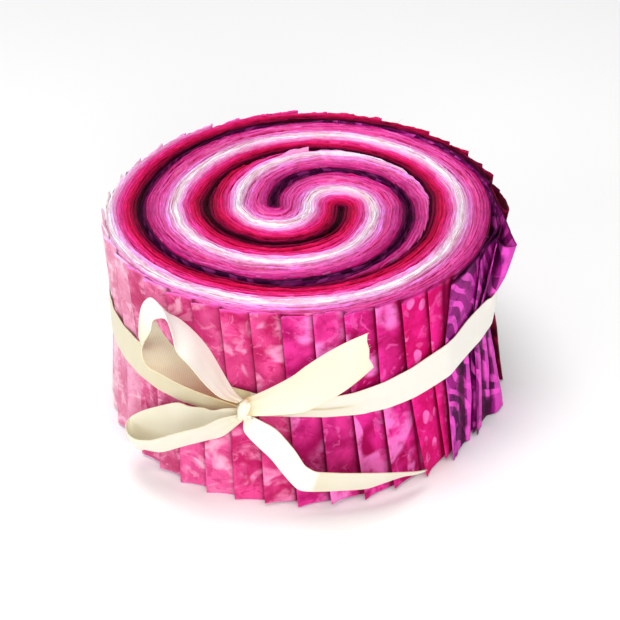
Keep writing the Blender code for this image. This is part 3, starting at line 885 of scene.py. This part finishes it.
def make_loose_end(end, fabric, seed):
    """A loose end as cloth on its creases. Returns its piece, its length and its points."""
    own = np.random.default_rng(seed)
    positions, length = even_positions(crease_points(end.creases, WAIST_HEIGHT), 0.55 * MM)
    columns = len(positions)
    left = np.linspace(length, 0, columns)
    part, across, drop, edge = profile(LOOSE_ROWS, LOOSE_ROWS[::-1])
    top_line = STRIP_WIDTH - 0.2 * MM + 0.12 * MM * wave_noise(left, 5, 4 * MM, 25 * MM, own)
    fray = own.normal(0, 0.05 * MM, (columns, 2))
    tops = [top_line + fray[:, ply_side] for ply_side in (1, 1, 0)]
    foot = np.clip(0.35 * MM + 0.15 * MM * wave_noise(left, 4, 9 * MM, 30 * MM, own), 0.02 * MM, None)
    thickness = end.ply * MM * rounding(np.minimum(left, length - left), 0.5 * MM, 0.02)
    points, hollows = [], []
    for kind, side, value in zip(part, across, drop):
        nominal = {"face": value, "top": STRIP_WIDTH, "bottom": 0.0}[str(kind)]
        plan = curve_through(crease_points(end.creases, nominal), positions)
        ahead = directions(plan)
        outward = np.stack([-ahead[:, 1], ahead[:, 0]], 1)  # the creases run clockwise, so left is out
        reach = np.linalg.norm(plan, axis=1)
        # painted shade in the hollows between the folds and a painted highlight on their ridges, from how far
        # a point lies inside the mean reach of its neighbours
        depth = (0.24 + 0.26 * ramp(nominal, 28 * MM, 44 * MM)) * MM
        hollows.append(np.clip((smoothed(reach, 15, "edge") - reach) / depth, -1, 1) * (side > 0))
        bearing = np.arctan2(plan[:, 1], plan[:, 0]) * 57  # nearly degrees
        wrinkle = crinkle(bearing, nominal)
        plan = plan + outward * (side * thickness)[:, None] + plan * (wrinkle / reach)[:, None]
        height = row_height(kind, side, value, tops, [top_line] * 3, foot)
        points.append(np.concatenate([plan, height[:, None]], 1))
    points, hollow = np.stack(points, 1), np.stack(hollows, 1).ravel()
    piece = cloth_piece(
        end.name,
        points.reshape(-1, 3),
        wall_faces(columns, len(LOOSE_ROWS), len(LOOSE_ROWS)),
        radians(60),
        fabric,
        wall_uv(left, across, points[:, :, 2], seed * 0.173),
        edge=np.tile(edge, columns),
        under=np.clip(hollow * 1.5, 0, 1) * 0.92,
        ridge=np.clip(-hollow, 0, 1),
    )
    return piece, length, points.reshape(-1, 3)


# ---------------------------------------------------------------- the ribbon

RIBBON_THICK = 0.2 * MM
RIBBON_CLEAR = 0.35 * MM
RIBBON_COLUMN = 0.6 * MM
ACROSS = np.array([0, 0.03, 0.09, 0.2, 0.32, 0.44, 0.56, 0.68, 0.8, 0.91, 0.97, 1])
SELVEDGE = np.where((ACROSS < 0.02) | (ACROSS > 0.98), 1.0, 0.0)
BACK_OF_RIBBON = np.array([0.7, 0.0])  # its place in the weave, from the front's
KNOT_ANGLE = -104.6
GATHER_FADE = 7 * MM
CUT_ZONE = 7 * MM
THREAD_RADIUS = 0.05 * MM
THREAD_TONE = 0.2
THREAD_UV = (0, 0.003)
WHOLE_DEGREES = np.arange(-180, 181)


def around(angle, height, reach):
    """The points at angles in degrees, and at heights and reaches in millimetres."""
    angle = np.radians(angle)
    return np.stack([reach * np.cos(angle), reach * np.sin(angle), height], -1) * MM


def face_normals(grid):
    """The unit normals of a grid of points (columns, rows, xyz)."""
    normal = np.cross(np.gradient(grid, axis=0), np.gradient(grid, axis=1))
    return normal / np.maximum(np.linalg.norm(normal, axis=2, keepdims=True), 1e-12)


class Ribbon:
    """Thin shells and threads of ribbon, gathered to make one piece."""

    def __init__(self):
        self.points, self.faces, self.uvs, self.edges, self.tones = [], [], [], [], []
        self.count = 0

    def keep(self, points, faces, uv, edge, tone):
        self.points.append(points.reshape(-1, 3))
        self.faces += faces
        self.uvs.append(uv)
        self.edges.append(edge)
        self.tones.append(tone)
        self.count += len(self.points[-1])

    def add(self, grid, thickness, start, tone):
        """Adds the shell of a grid of points that begins `start` along the whole. Returns its length."""
        columns, rows = grid.shape[:2]
        offset = face_normals(grid) * (np.broadcast_to(thickness, (rows,)) / 2)[None, :, None]
        section = np.concatenate([grid + offset, (grid - offset)[:, ::-1]], axis=1)
        along = running_total(np.linalg.norm(np.diff(grid, axis=0), axis=2).mean(1))
        across = np.cumsum(np.linalg.norm(np.diff(grid, axis=1), axis=2), axis=1)
        across = np.concatenate([np.zeros((columns, 1)), across], axis=1)
        uv = np.stack([np.broadcast_to(along[:, None], across.shape) + start, across], -1)
        uv = np.concatenate([uv, uv[:, ::-1] + BACK_OF_RIBBON], axis=1).reshape(-1, 2)
        edge = np.tile(SELVEDGE, 2 * columns)  # the same both ways
        faces = (grid_faces(columns, 2 * rows)[:, ::-1] + self.count).tolist()
        last = self.count + (columns - 1) * 2 * rows
        for row in range(rows - 1):  # the two ends, as strips of quads
            quad = (row, row + 1, 2 * rows - 2 - row, 2 * rows - 1 - row)
            faces += [[self.count + corner for corner in quad], [last + corner for corner in quad[::-1]]]
        self.keep(section, faces, uv, edge, np.concatenate([tone, tone[:, ::-1]], axis=1).ravel())
        return along[-1]

    def thread(self, points):
        """Adds one thin three-sided thread through points."""
        along = directions(points)
        side = np.cross(along, (0.31, 0.53, 0.79))
        side /= np.linalg.norm(side, axis=1, keepdims=True)
        turns = THREAD_RING[None, :, None]
        ring = side[:, None] * np.cos(turns) + np.cross(along, side)[:, None] * np.sin(turns)
        taper = np.linspace(1, 0.5, len(points))[:, None, None]
        section = points[:, None] + ring * THREAD_RADIUS * taper
        count = 3 * len(points)
        faces = thread_faces(len(points), self.count)
        self.keep(section, faces, np.tile(THREAD_UV, (count, 1)), np.ones(count), np.full(count, THREAD_TONE))

    def piece(self, name, material):
        uv, edge, tone = (np.concatenate(values) for values in (self.uvs, self.edges, self.tones))
        # tone is the painted light and shade of each part
        return cloth_piece(
            name, np.concatenate(self.points), self.faces, radians(50), material, uv, edge=edge, tone=tone
        )


class Outside:
    """How far out the roll and its loose ends reach, in cells of two degrees by a 24th of the height."""

    ROUND, UP = 180, 24

    def __init__(self, clouds):
        self.points = np.concatenate(clouds)
        x, y, z = self.points.T
        turn = np.floor(np.degrees(np.arctan2(y, x)) / 2).astype(int) % self.ROUND
        level = np.clip((z / STRIP_WIDTH * self.UP).astype(int), 0, self.UP - 1)
        reach = np.zeros((self.ROUND, self.UP))
        np.maximum.at(reach, (turn, level), np.hypot(x, y))
        for _ in range(4):  # fill the cells that no point fell in from those over and under them
            reach = np.where(reach < 0.04, np.maximum(np.roll(reach, 1, 1), np.roll(reach, -1, 1)), reach)
        self.reach = np.maximum(reach, np.maximum(np.roll(reach, 1, 0), np.roll(reach, -1, 0)))

    def at(self, x, y, z):
        """The reach at points, evened out between the middles of the cells round them."""
        turn = (np.degrees(np.arctan2(y, x)) / 2 - 0.5) % self.ROUND
        level = np.clip(z / STRIP_WIDTH * self.UP - 0.5, 0, self.UP - 1.001)
        column, row = np.floor(turn).astype(int), np.floor(level).astype(int)
        past, over = turn - column, level - row
        beside = (column + 1) % self.ROUND
        column = column % self.ROUND
        low = self.reach[column, row] * (1 - past) + self.reach[beside, row] * past
        high = self.reach[column, row + 1] * (1 - past) + self.reach[beside, row + 1] * past
        return low * (1 - over) + high * over

    def hull(self, low, high):
        """The reach of a string drawn tight round the points between two heights, at each of
        WHOLE_DEGREES."""
        chosen = self.points[(self.points[:, 2] > low) & (self.points[:, 2] < high)][:, :2]
        headings = np.radians(np.arange(0, 360, 1.0))
        touched = sorted({int(np.argmax(chosen @ (cos(heading), sin(heading)))) for heading in headings})
        corners = chosen[touched]
        corners = corners[np.argsort(np.arctan2(corners[:, 1], corners[:, 0]))]
        (x1, y1), (x2, y2) = corners.T, np.roll(corners, -1, axis=0).T
        reach = []
        for degree in WHOLE_DEGREES:
            c, s = cos(radians(degree)), sin(radians(degree))
            divisor = c * (y2 - y1) - s * (x2 - x1)
            found = (x1 * y2 - y1 * x2) / np.where(divisor == 0, 1, divisor)
            crossed = (x1 * s - y1 * c) * (x2 * s - y2 * c) <= 0
            reach.append(max(found[crossed & (found > 0)]))
        return np.array(reach)

    def push_out(self, grid, clear):
        """The grid with every point at least `clear` outside, but for those above the roll."""
        x, y, z = grid[..., 0], grid[..., 1], grid[..., 2]
        wanted = self.at(x, y, z) + clear
        scale = np.where(z < STRIP_WIDTH + 0.5 * MM, np.maximum(1, wanted / np.hypot(x, y)), 1)
        return np.stack([x * scale, y * scale, z], -1)


def section_grid(stations, positions):
    """Curves along the ribbon's two edges and its middle, and a parabola across them at each position."""
    near, middle, far = (curve_through(stations[:, place], positions)[:, None] for place in range(3))
    v = ACROSS[None, :, None]
    return near * (1 - v) * (1 - 2 * v) + middle * 4 * v * (1 - v) + far * v * (2 * v - 1)


def add_run(ribbon, outside, run, start):
    """Adds a run that begins `start` along the whole ribbon. Returns its length."""
    own = np.random.default_rng(run.seed)
    table = np.array(run.sections, float).reshape(-1, 3, 3)
    stations = around(table[:, :, 0], table[:, :, 1], table[:, :, 2])
    positions, length = even_positions(stations[:, 1], RIBBON_COLUMN)
    grid = section_grid(stations, positions)
    along = np.linspace(0, length, len(positions))[:, None]
    if run.cut:
        further = np.interp(ACROSS, *np.array(run.cut).T) * MM
        share = np.clip((along - length + CUT_ZONE) / CUT_ZONE, 0, 1) ** 2
        grid = grid + directions(grid) * (share * further)[..., None]
    gather = run.pleats[0] * fading(along, GATHER_FADE) + run.pleats[1] * fading(length - along, GATHER_FADE)
    phase = own.uniform(0, 6)
    waves = np.sin(2 * pi * 2.6 * ACROSS + phase + along / (9 * MM))
    waves = waves + 0.6 * np.sin(2 * pi * 4.3 * ACROSS + 2 * phase)
    belly = np.sin(pi * ACROSS)
    soft = 0.10 * MM * np.sin(2 * pi * (along / (11 * MM) + 0.5 * ACROSS) + phase) * belly
    grid = grid + face_normals(grid) * (gather * MM * waves * belly**0.5 + soft)[..., None]
    grid = outside.push_out(grid, run.clear * MM)
    thick = RIBBON_THICK * np.where((ACROSS < 0.05) | (ACROSS > 0.95), 1.25, 1.0)
    # painted shade: the run's own by share of its length, and more in the hollows of its gathers
    tone = np.interp(along / length, *np.array(run.tone).T) + gather * 0.5 * (0.5 - 0.5 * waves / 1.6)
    ribbon.add(grid, thick, start, tone)
    for _ in range(run.threads):
        row, share = own.integers(0, len(ACROSS) - 1), own.random()
        foot, behind = (line[row] * (1 - share) + line[row + 1] * share for line in (grid[-1], grid[-4]))
        ahead = (foot - behind) / np.linalg.norm(foot - behind)
        wander = own.normal(0, 0.35, 3)
        reach = own.uniform(0.3, 0.9) * MM
        steps = np.linspace(-0.15, 1, 6)[:, None]
        ribbon.thread(foot + ahead * reach * steps + wander * reach * 0.5 * np.clip(steps, 0, 1) ** 2)
    return length


def add_band(ribbon, outside):
    """Adds the band, from under the knot round the roll and back under it. Returns its length."""
    turns = np.linspace(0, 360, 560)
    angle = (KNOT_ANGLE + turns + 180) % 360 - 180
    levels = np.array(BAND, float).T
    lower, upper = (smoothed(np.interp(angle, levels[0], line), 13, "wrap")[:, None] for line in levels[1:])
    height = (lower * (1 - ACROSS) + upper * ACROSS) * MM
    hulls = [outside.hull(26 * MM, 36 * MM), outside.hull(36 * MM, 47 * MM)]
    low, high = (np.interp(angle, WHOLE_DEGREES, hull)[:, None] for hull in hulls)
    share = np.clip((height - 31 * MM) / (11 * MM), 0, 1)
    reach = low * (1 - share) + high * share + RIBBON_CLEAR
    # near the knot it is folded along its length: a step, and small wrinkles
    turns, belly = turns[:, None], np.sin(pi * ACROSS)
    from_knot = np.minimum(turns, 360 - turns)
    folded = bell(from_knot, np.where(turns < 180, 30, 9))
    reach = reach + folded * MM * (0.55 * ramp(ACROSS, 0.42, 0.50) + 0.25 * belly)
    reach = reach + 0.07 * MM * np.sin(2 * pi * (turns / 13 + ACROSS * 0.7)) * belly
    reach = reach + 0.10 * MM * fading(from_knot, 25) * np.sin(2 * pi * 2.5 * ACROSS + turns / 9)
    grid = around(angle[:, None], height / MM, reach / MM)
    grid = outside.push_out(grid, RIBBON_CLEAR - 0.1 * MM)
    # painted shade: the band's own by degrees from the knot, more on the lower half of the fold, and a
    # painted dark line along the crease near the knot
    painted_crease_line = ramp(turns, 12, 17) * (1 - ramp(turns, 24, 30))
    tone = np.interp(turns, *np.array(BAND_SHADE).T) + 0.10 * folded * ramp(ACROSS, 0.55, 0.40)
    return ribbon.add(grid, RIBBON_THICK, 0, tone + 0.5 * painted_crease_line * bell(ACROSS - 0.44, 0.05))


def make_ribbon(outside, satin):
    """The whole ribbon. Returns its piece and its length."""
    ribbon = Ribbon()
    length = add_band(ribbon, outside)
    for run in RUNS:
        length += add_run(ribbon, outside, run, length)
    return ribbon.piece("satin_ribbon", satin), length


# ---------------------------------------------------------------- materials


def linear(colour):
    """A colour given as display values from 0 to 255, as the shaders take it."""
    share = np.array(colour, float) / 255
    return np.append(np.where(share <= 0.04045, share / 12.92, ((share + 0.055) / 1.055) ** 2.4), 1.0)


class Shader:
    """A new material and its nodes. A node's inputs are numbers, colours or other nodes' outputs."""

    def __init__(self, name):
        self.material = bpy.data.materials.new(name)
        self.material.use_nodes = True
        self.tree = self.material.node_tree
        self.surface = self.tree.nodes["Principled BSDF"]

    def fill(self, made, inputs):
        for key, value in inputs.items():
            if isinstance(value, bpy.types.NodeSocket):
                self.tree.links.new(value, made.inputs[key])
            else:
                made.inputs[key].default_value = value if np.isscalar(value) else tuple(value)

    def node(self, kind, inputs, **settings):
        """Adds a node and returns its outputs."""
        made = self.tree.nodes.new("ShaderNode" + kind)
        for key, value in settings.items():
            setattr(made, key, value)
        self.fill(made, inputs)
        return made.outputs

    def plus(self, a, b):
        return self.node("Math", {0: a, 1: b}, operation="ADD")[0]

    def minus(self, a, b):
        return self.node("Math", {0: a, 1: b}, operation="SUBTRACT")[0]

    def times(self, a, b):
        return self.node("Math", {0: a, 1: b}, operation="MULTIPLY")[0]

    def vector(self, operation, a, b):
        return self.node("VectorMath", {0: a, 1: b}, operation=operation)[0]

    def attribute(self, name):
        return self.node("Attribute", {}, attribute_name=name)["Fac"]

    def step(self, value, low, high):
        """0 below low, 1 above high, smooth between."""
        inputs = {"Value": value, "From Min": low, "From Max": high}
        return self.node("MapRange", inputs, interpolation_type="SMOOTHSTEP")["Result"]

    def mix(self, share, a, b, blend="MIX"):
        return self.node("Mix", {0: share, 6: a, 7: b}, data_type="RGBA", blend_type=blend)[2]

    def scaled(self, colour, red, rest):
        """The colour times one level for red and one for green and blue."""
        level = self.node("CombineColor", {0: red, 1: rest, 2: rest})[0]
        return self.mix(1.0, colour, level, "MULTIPLY")

    def noise(self, where, scale, detail=3.0, distortion=0.0, roughness=0.55):
        inputs = {"Vector": where, "Scale": scale, "Detail": detail, "Roughness": roughness}
        return self.node("TexNoise", inputs | {"Distortion": distortion})["Fac"]

    def wave(self, where, axis, scale, distortion, detail=2.0):
        inputs = {"Vector": where, "Scale": scale, "Distortion": distortion, "Detail": detail}
        return self.node("TexWave", inputs, bands_direction=axis)["Fac"]

    def cells(self, where, size, feature="F1"):
        return self.node("TexVoronoi", {"Vector": where, "Scale": 1 / size}, feature=feature)["Distance"]

    def stretched(self, where, across, up, turn=0.0):
        inputs = {"Vector": where, "Rotation": (0, 0, turn), "Scale": (across, up, 1)}
        return self.node("Mapping", inputs)[0]

    def warped(self, where, scale, size):
        """The coordinates pushed about by a soft noise, so that no motif is regular."""
        push = self.node("TexNoise", {"Vector": where, "Scale": scale, "Detail": 1.0})["Color"]
        centred = self.vector("SUBTRACT", push, (0.5, 0.5, 0.5))
        return self.vector("ADD", where, self.vector("MULTIPLY", centred, (size, size, 0)))

    def in_cloth(self, seed):
        """The cloth's own coordinates in millimetres, with the seed as the third."""
        uv = self.node("UVMap", {}, uv_map="cloth")["UV"]
        return self.vector("ADD", self.vector("MULTIPLY", uv, (1000, 1000, 0)), (0, 0, seed))

    def bump(self, height, strength, distance):
        return self.node("Bump", {"Height": height, "Strength": strength, "Distance": distance})[0]


class Fabric(NamedTuple):
    """A batik: its three dye colours, dark to pale, the colour of its cut edges, its motif, the motif's size
    in millimetres, and how soft its mottle is."""

    name: str
    deep: tuple
    mid: tuple
    pale: tuple
    rim: tuple
    motif: str
    size: float
    soft: float


# The colours were typed in after mean colours measured in the photo, and then changed.
FABRICS = rows_of(
    Fabric,
    ("plum_tiger", (78, 0, 72), (166, 22, 134), (253, 84, 212), (56, 4, 44), "stripes", 9, 0.5),
    ("plum_clouds", (52, 4, 44), (104, 14, 74), (186, 44, 136), (122, 22, 82), "clouds", 8, 0.6),
    ("magenta_ovals", (208, 8, 102), (244, 32, 142), (254, 120, 200), (182, 44, 124), "ovals", 6.5, 0.4),
    ("rose_petals", (172, 8, 86), (236, 44, 150), (253, 128, 212), (208, 66, 150), "petals", 10, 0.4),
    ("pink_leaves", (176, 18, 98), (232, 56, 150), (252, 138, 214), (222, 80, 164), "petals", 12, 0.5),
    ("salmon_clouds", (180, 28, 90), (232, 76, 146), (248, 156, 200), (240, 88, 178), "clouds", 9, 0.6),
    ("raspberry_mist", (190, 46, 108), (232, 94, 156), (248, 174, 204), (248, 110, 198), "clouds", 8, 0.6),
    ("orchid_fleck", (184, 62, 106), (230, 122, 168), (246, 176, 208), (255, 138, 222), "fleck", 6, 0.6),
    ("mauve_fleck", (204, 110, 142), (230, 158, 186), (246, 200, 218), (255, 178, 238), "fleck", 6, 0.7),
    ("dusty_rose", (210, 132, 158), (232, 182, 202), (246, 212, 226), (255, 216, 244), "fleck", 7, 0.8),
    ("shell_white", (240, 204, 214), (251, 232, 236), (254, 246, 243), (255, 238, 248), "clouds", 10, 0.9),
    ("ivory_rose", (244, 196, 214), (252, 220, 232), (254, 242, 242), (255, 208, 240), "clouds", 12, 0.9),
    ("blush_petals", (236, 128, 188), (248, 178, 218), (253, 220, 236), (253, 160, 224), "petals", 14, 0.8),
    ("candy_mist", (214, 48, 134), (240, 96, 172), (250, 170, 214), (248, 104, 188), "clouds", 9, 0.7),
    ("hot_pink", (200, 14, 92), (232, 34, 130), (244, 94, 170), (238, 66, 158), "ovals", 8, 0.5),
    ("crimson_bloom", (172, 8, 66), (214, 20, 96), (236, 62, 138), (230, 38, 118), "petals", 12, 0.5),
    ("cherry", (146, 4, 44), (196, 10, 70), (220, 38, 100), (216, 20, 86), "clouds", 9, 0.5),
    ("garnet", (94, 0, 30), (142, 6, 50), (184, 28, 82), (186, 12, 74), "fleck", 7, 0.5),
    ("burgundy", (66, 0, 22), (108, 4, 40), (154, 20, 62), (130, 6, 56), "clouds", 9, 0.5),
    ("oxblood", (42, 0, 14), (78, 3, 28), (126, 14, 48), (62, 0, 28), "fleck", 8, 0.5),
)
STRIPS_OF_EACH = 2


def motif(shader, fabric, where):
    """A share from 0 to 1 of the pale colour."""
    size = fabric.size
    if fabric.motif == "stripes":
        bent = shader.stretched(shader.warped(where, 0.05, 22), 1, 1, 0.95)
        return shader.step(shader.wave(bent, "Y", 0.50 / size, 3.6, 1.5), 0.58, 0.70)
    if fabric.motif == "ovals":
        cells = shader.cells(shader.stretched(shader.warped(where, 0.12, 5), 1.6, 0.9, 0.25), size)
        return shader.minus(1.0, shader.step(cells, 0.26, 0.34))
    if fabric.motif == "petals":
        bent = shader.stretched(shader.warped(where, 0.07, 11), 1.2, 0.8, 0.6)
        return shader.minus(1.0, shader.step(shader.cells(bent, size, "SMOOTH_F1"), 0.36, 0.44))
    if fabric.motif == "fleck":
        return shader.step(shader.noise(where, 1.0 / size, 5, 0.6, 0.65), 0.48, 0.66)
    return shader.step(shader.noise(where, 0.9 / size, 2, 1.2), 0.5, 0.66)


def dyed(shader, fabric, where):
    """The cloth's face: mottled dye with darker blotches, washed pools and the motif in patches."""
    deep, mid, pale = linear(fabric.deep), linear(fabric.mid), linear(fabric.pale)
    low = 0.5 - 0.16 * (0.4 + fabric.soft)
    colour = shader.mix(shader.step(shader.noise(where, 0.085, 4, 0.5), low, 1 - low), deep, mid)
    blotches = shader.step(shader.noise(where, 0.22, 5, 0.8, 0.68), 0.52, 0.62)
    colour = shader.mix(shader.times(blotches, 0.65), colour, deep)
    pools = shader.step(shader.noise(where, 0.13, 4, 1.5, 0.6), 0.56, 0.62)
    colour = shader.mix(shader.times(pools, 0.45), colour, 0.45 * mid + 0.55 * pale)
    patches = shader.times(shader.step(shader.noise(where, 0.16, 3), 0.34, 0.60), 0.9)
    return shader.mix(shader.times(motif(shader, fabric, where), patches), colour, pale)


def cut_edge(shader, fabric, where):
    """The cut edge: its own mean colour, with lighter and darker stretches, fuzz and streaks."""
    rim = linear(fabric.rim)
    tint = rim / rim[:3].max()
    light = np.clip(rim * 1.18 + tint * 0.03, 0, 0.98)
    dark = rim * 0.80 + np.array((0, 0, 0, 0.20))
    runs = shader.step(shader.noise(shader.stretched(where, 1, 0.1), 0.28, 3), 0.36, 0.64)
    fuzz = shader.times(shader.step(shader.noise(where, 1.6, 3, 0, 0.7), 0.56, 0.74), 0.45)
    colour = shader.mix(fuzz, shader.mix(runs, dark, light), np.clip(rim * 1.35 + tint * 0.06, 0, 0.98))
    streaks = shader.step(shader.noise(shader.stretched(where, 0.05, 0.02), 1.0, 2, 0, 0.7), 0.38, 0.62)
    level = shader.plus(shader.times(streaks, 0.66), 0.70)
    return shader.scaled(colour, shader.plus(shader.times(level, 0.4), 0.6), level)


def make_batik(fabric, seed):
    shader = Shader(fabric.name)
    where = shader.in_cloth(seed * 37.0)
    edge = shader.times(shader.attribute("edge"), 0.92)
    colour = shader.mix(edge, dyed(shader, fabric, where), cut_edge(shader, fabric, where))
    # a plain weave with uneven threads
    weave = shader.times(shader.wave(where, "X", 0.43, 0.5), shader.wave(where, "Y", 0.43, 0.5))
    slub = shader.noise(shader.stretched(where, 1, 0.15), 1.2, 2)
    grain = shader.plus(shader.plus(shader.times(weave, 0.08), shader.times(slub, 0.16)), 0.90)
    colour = shader.scaled(colour, grain, grain)
    # painted highlight on the fold ridges of the loose ends, broken up by the slubs
    painted_highlight = shader.step(shader.plus(shader.attribute("ridge"), shader.times(slub, 0.3)), 0.6, 1.2)
    colour = shader.mix(shader.times(painted_highlight, 0.6), colour, linear(fabric.pale))
    # painted shade from the under attribute: shadows by free edges, in the hollows of folds and between the
    # turns
    shaded = linear(fabric.deep) * np.array((0.30, 0.12, 0.18, 1))
    colour = shader.mix(shader.times(shader.attribute("under"), 0.92), colour, shaded)
    smoother = fabric.motif == "stripes"
    shader.fill(shader.surface, {
        "Base Color": colour,
        "Roughness": shader.plus(0.5 if smoother else 0.72, shader.times(slub, 0.2)),
        "Specular IOR Level": 0.08 if smoother else 0.05,
        "Sheen Weight": 0.0 if smoother else 0.02,
        "Sheen Roughness": 0.4,
        "Normal": shader.bump(weave, 0.25, 0.00006),
    })
    return shader.material


SHADE_PALETTE = [  # the ribbon's painted light and shade by its tone: near white where lit, then ivory, cream, tan and golden brown deeper in shade
    (0.0, (247, 244, 236)),
    (0.25, (238, 233, 213)),
    (0.5, (227, 221, 193)),
    (0.8, (203, 185, 138)),
    (1.2, (190, 124, 52)),
]
SELVEDGE_COLOUR = (226, 206, 160)


def make_satin():
    shader = Shader("cream_satin_weave")
    where = shader.in_cloth(5.0)
    drift = shader.minus(shader.noise(shader.stretched(where, 1, 0.5), 0.12, 2), 0.5)
    # the painted light and shade from the mesh's tone, with a little random drift
    tone = shader.plus(shader.attribute("tone"), shader.times(drift, 0.12))
    share = shader.node("Math", {0: tone, 1: SHADE_PALETTE[-1][0]}, operation="DIVIDE", use_clamp=True)[0]
    palette = shader.tree.nodes.new("ShaderNodeValToRGB")
    stops = palette.color_ramp.elements  # it starts with one at each end
    for _ in SHADE_PALETTE[2:]:
        stops.new(0.5)
    for stop, (position, colour) in zip(stops, SHADE_PALETTE):
        stop.position = position / SHADE_PALETTE[-1][0]
        stop.color = linear(colour)
    shader.fill(palette, {0: share})
    # fine diagonal lines of the weave, and finer threads across them
    lines = shader.wave(shader.stretched(where, 1, 1, 0.72), "X", 0.62, 0.25, 1.0)
    threads = shader.wave(where, "Y", 1.1, 0.4)
    grain = shader.plus(shader.plus(shader.times(lines, 0.11), shader.times(threads, 0.03)), 0.88)
    colour = shader.scaled(palette.outputs[0], grain, grain)
    yellow = shader.times(shader.step(shader.attribute("edge"), 0.35, 0.9), 0.45)
    shader.fill(shader.surface, {
        "Base Color": shader.mix(yellow, colour, linear(SELVEDGE_COLOUR)),
        "Roughness": shader.plus(0.36, shader.times(lines, 0.16)),
        "Specular IOR Level": 0.35,
        "Sheen Weight": 0.1,
        "Normal": shader.bump(lines, 0.3, 0.00005),
    })
    return shader.material


# ---------------------------------------------------------------- floor, lights and camera

FLOOR_SIZE = 3.0  # from its middle to each side
PHOTO_WIDTH = 620
CAMERA_DISTANCE = 0.5
CAMERA_ELEVATION = radians(33.5)
CAMERA_LENS = 97.26
CAMERA_SHIFT = (5.5, -13)  # in pixels of a picture PHOTO_WIDTH wide


def make_floor():
    size = FLOOR_SIZE
    mesh = bpy.data.meshes.new("floor")
    corners = [(-size, -size, 0), (size, -size, 0), (size, size, 0), (-size, size, 0)]
    mesh.from_pydata(corners, [], [(0, 1, 2, 3)])
    piece = add_object("floor", mesh)
    shader = Shader("pale_floor")
    tone = shader.noise(shader.node("TexCoord", {})["Object"], 6.0)
    colour = shader.mix(tone, (0.93, 0.93, 0.93, 1), (0.96, 0.96, 0.96, 1))
    shader.fill(shader.surface, {"Base Color": colour, "Roughness": 0.7})
    mesh.materials.append(shader.material)


def aimed(item, place, aim):
    """Puts a lamp or camera at a place, turned to its aim."""
    item.location = place
    item.rotation_euler = (Vector(aim) - Vector(place)).to_track_quat("-Z", "Y").to_euler()


def make_softbox(name, place, aim, energy):
    data = bpy.data.lights.new(name, "AREA")
    data.energy = energy
    data.shape = "DISK"
    data.size = 0.5
    aimed(add_object(name, data), place, aim)


def make_lights():
    world = bpy.data.worlds.new("studio")
    bpy.context.scene.world = world
    world.use_nodes = True
    background = world.node_tree.nodes["Background"]
    background.inputs["Color"].default_value = (1, 1, 1, 1)
    background.inputs["Strength"].default_value = 0.5
    make_softbox("top_softbox", (-0.1, -0.1, 0.9), (0, 0, 0), 4.4)
    make_softbox("front_softbox", (0.15, -0.9, 0.40), (0, 0, 0.03), 3.6)
    make_softbox("left_softbox", (-0.75, -0.55, 0.35), (0, 0, 0.03), 2.6)


def make_camera():
    """At the photo's distance and angle."""
    data = bpy.data.cameras.new("camera")
    data.sensor_width = 36
    data.lens = CAMERA_LENS
    data.shift_x, data.shift_y = (part / PHOTO_WIDTH for part in CAMERA_SHIFT)
    camera = add_object("camera", data)
    middle = STRIP_WIDTH / 2
    back, up = CAMERA_DISTANCE * cos(CAMERA_ELEVATION), CAMERA_DISTANCE * sin(CAMERA_ELEVATION)
    aimed(camera, (0, -back, middle + up), (0, 0, middle))
    bpy.context.scene.camera = camera


# ---------------------------------------------------------------- the whole


class LooseEnd(NamedTuple):
    """A loose end: its piece's name, its CAD node, its creases, half its thickness in millimetres, its
    fabric's place in FABRICS and its slot, which nothing here uses."""

    name: str
    node: str
    creases: list
    ply: float
    fabric: int
    slot: str


LOOSE_ENDS = [
    LooseEnd("loose_end_1", "purple_end_1", PURPLE_END_1, 0.20, 0, "purple_batik"),
    LooseEnd("loose_end_2", "purple_end_2", PURPLE_END_2, 0.20, 0, "purple_batik"),
    LooseEnd("loose_end_3", "purple_end_3", PURPLE_END_3, 0.20, 0, "purple_batik"),
    LooseEnd("red_loop", "red_end", RED_END, 0.12, 18, "dark_red_batik"),
]


def main():
    bpy.context.scene.view_settings.view_transform = "Standard"
    make_camera()
    make_lights()
    make_floor()
    fabrics = [make_batik(fabric, index + 1) for index, fabric in enumerate(FABRICS)]
    clouds = []
    for strip in range(STRIP_COUNT):
        piece, points = make_strip(strip, fabrics[strip // STRIPS_OF_EACH])
        clouds.append(points)
        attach(piece, "root")
        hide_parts("roll")
    for index, end in enumerate(LOOSE_ENDS):
        piece, length, points = make_loose_end(end, fabrics[end.fabric], 3 + index)
        clouds.append(points)
        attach(piece, "root")
        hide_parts(end.node)
    ribbon, length = make_ribbon(Outside(clouds), make_satin())
    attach(ribbon, "root")
    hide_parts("ribbon")


main()
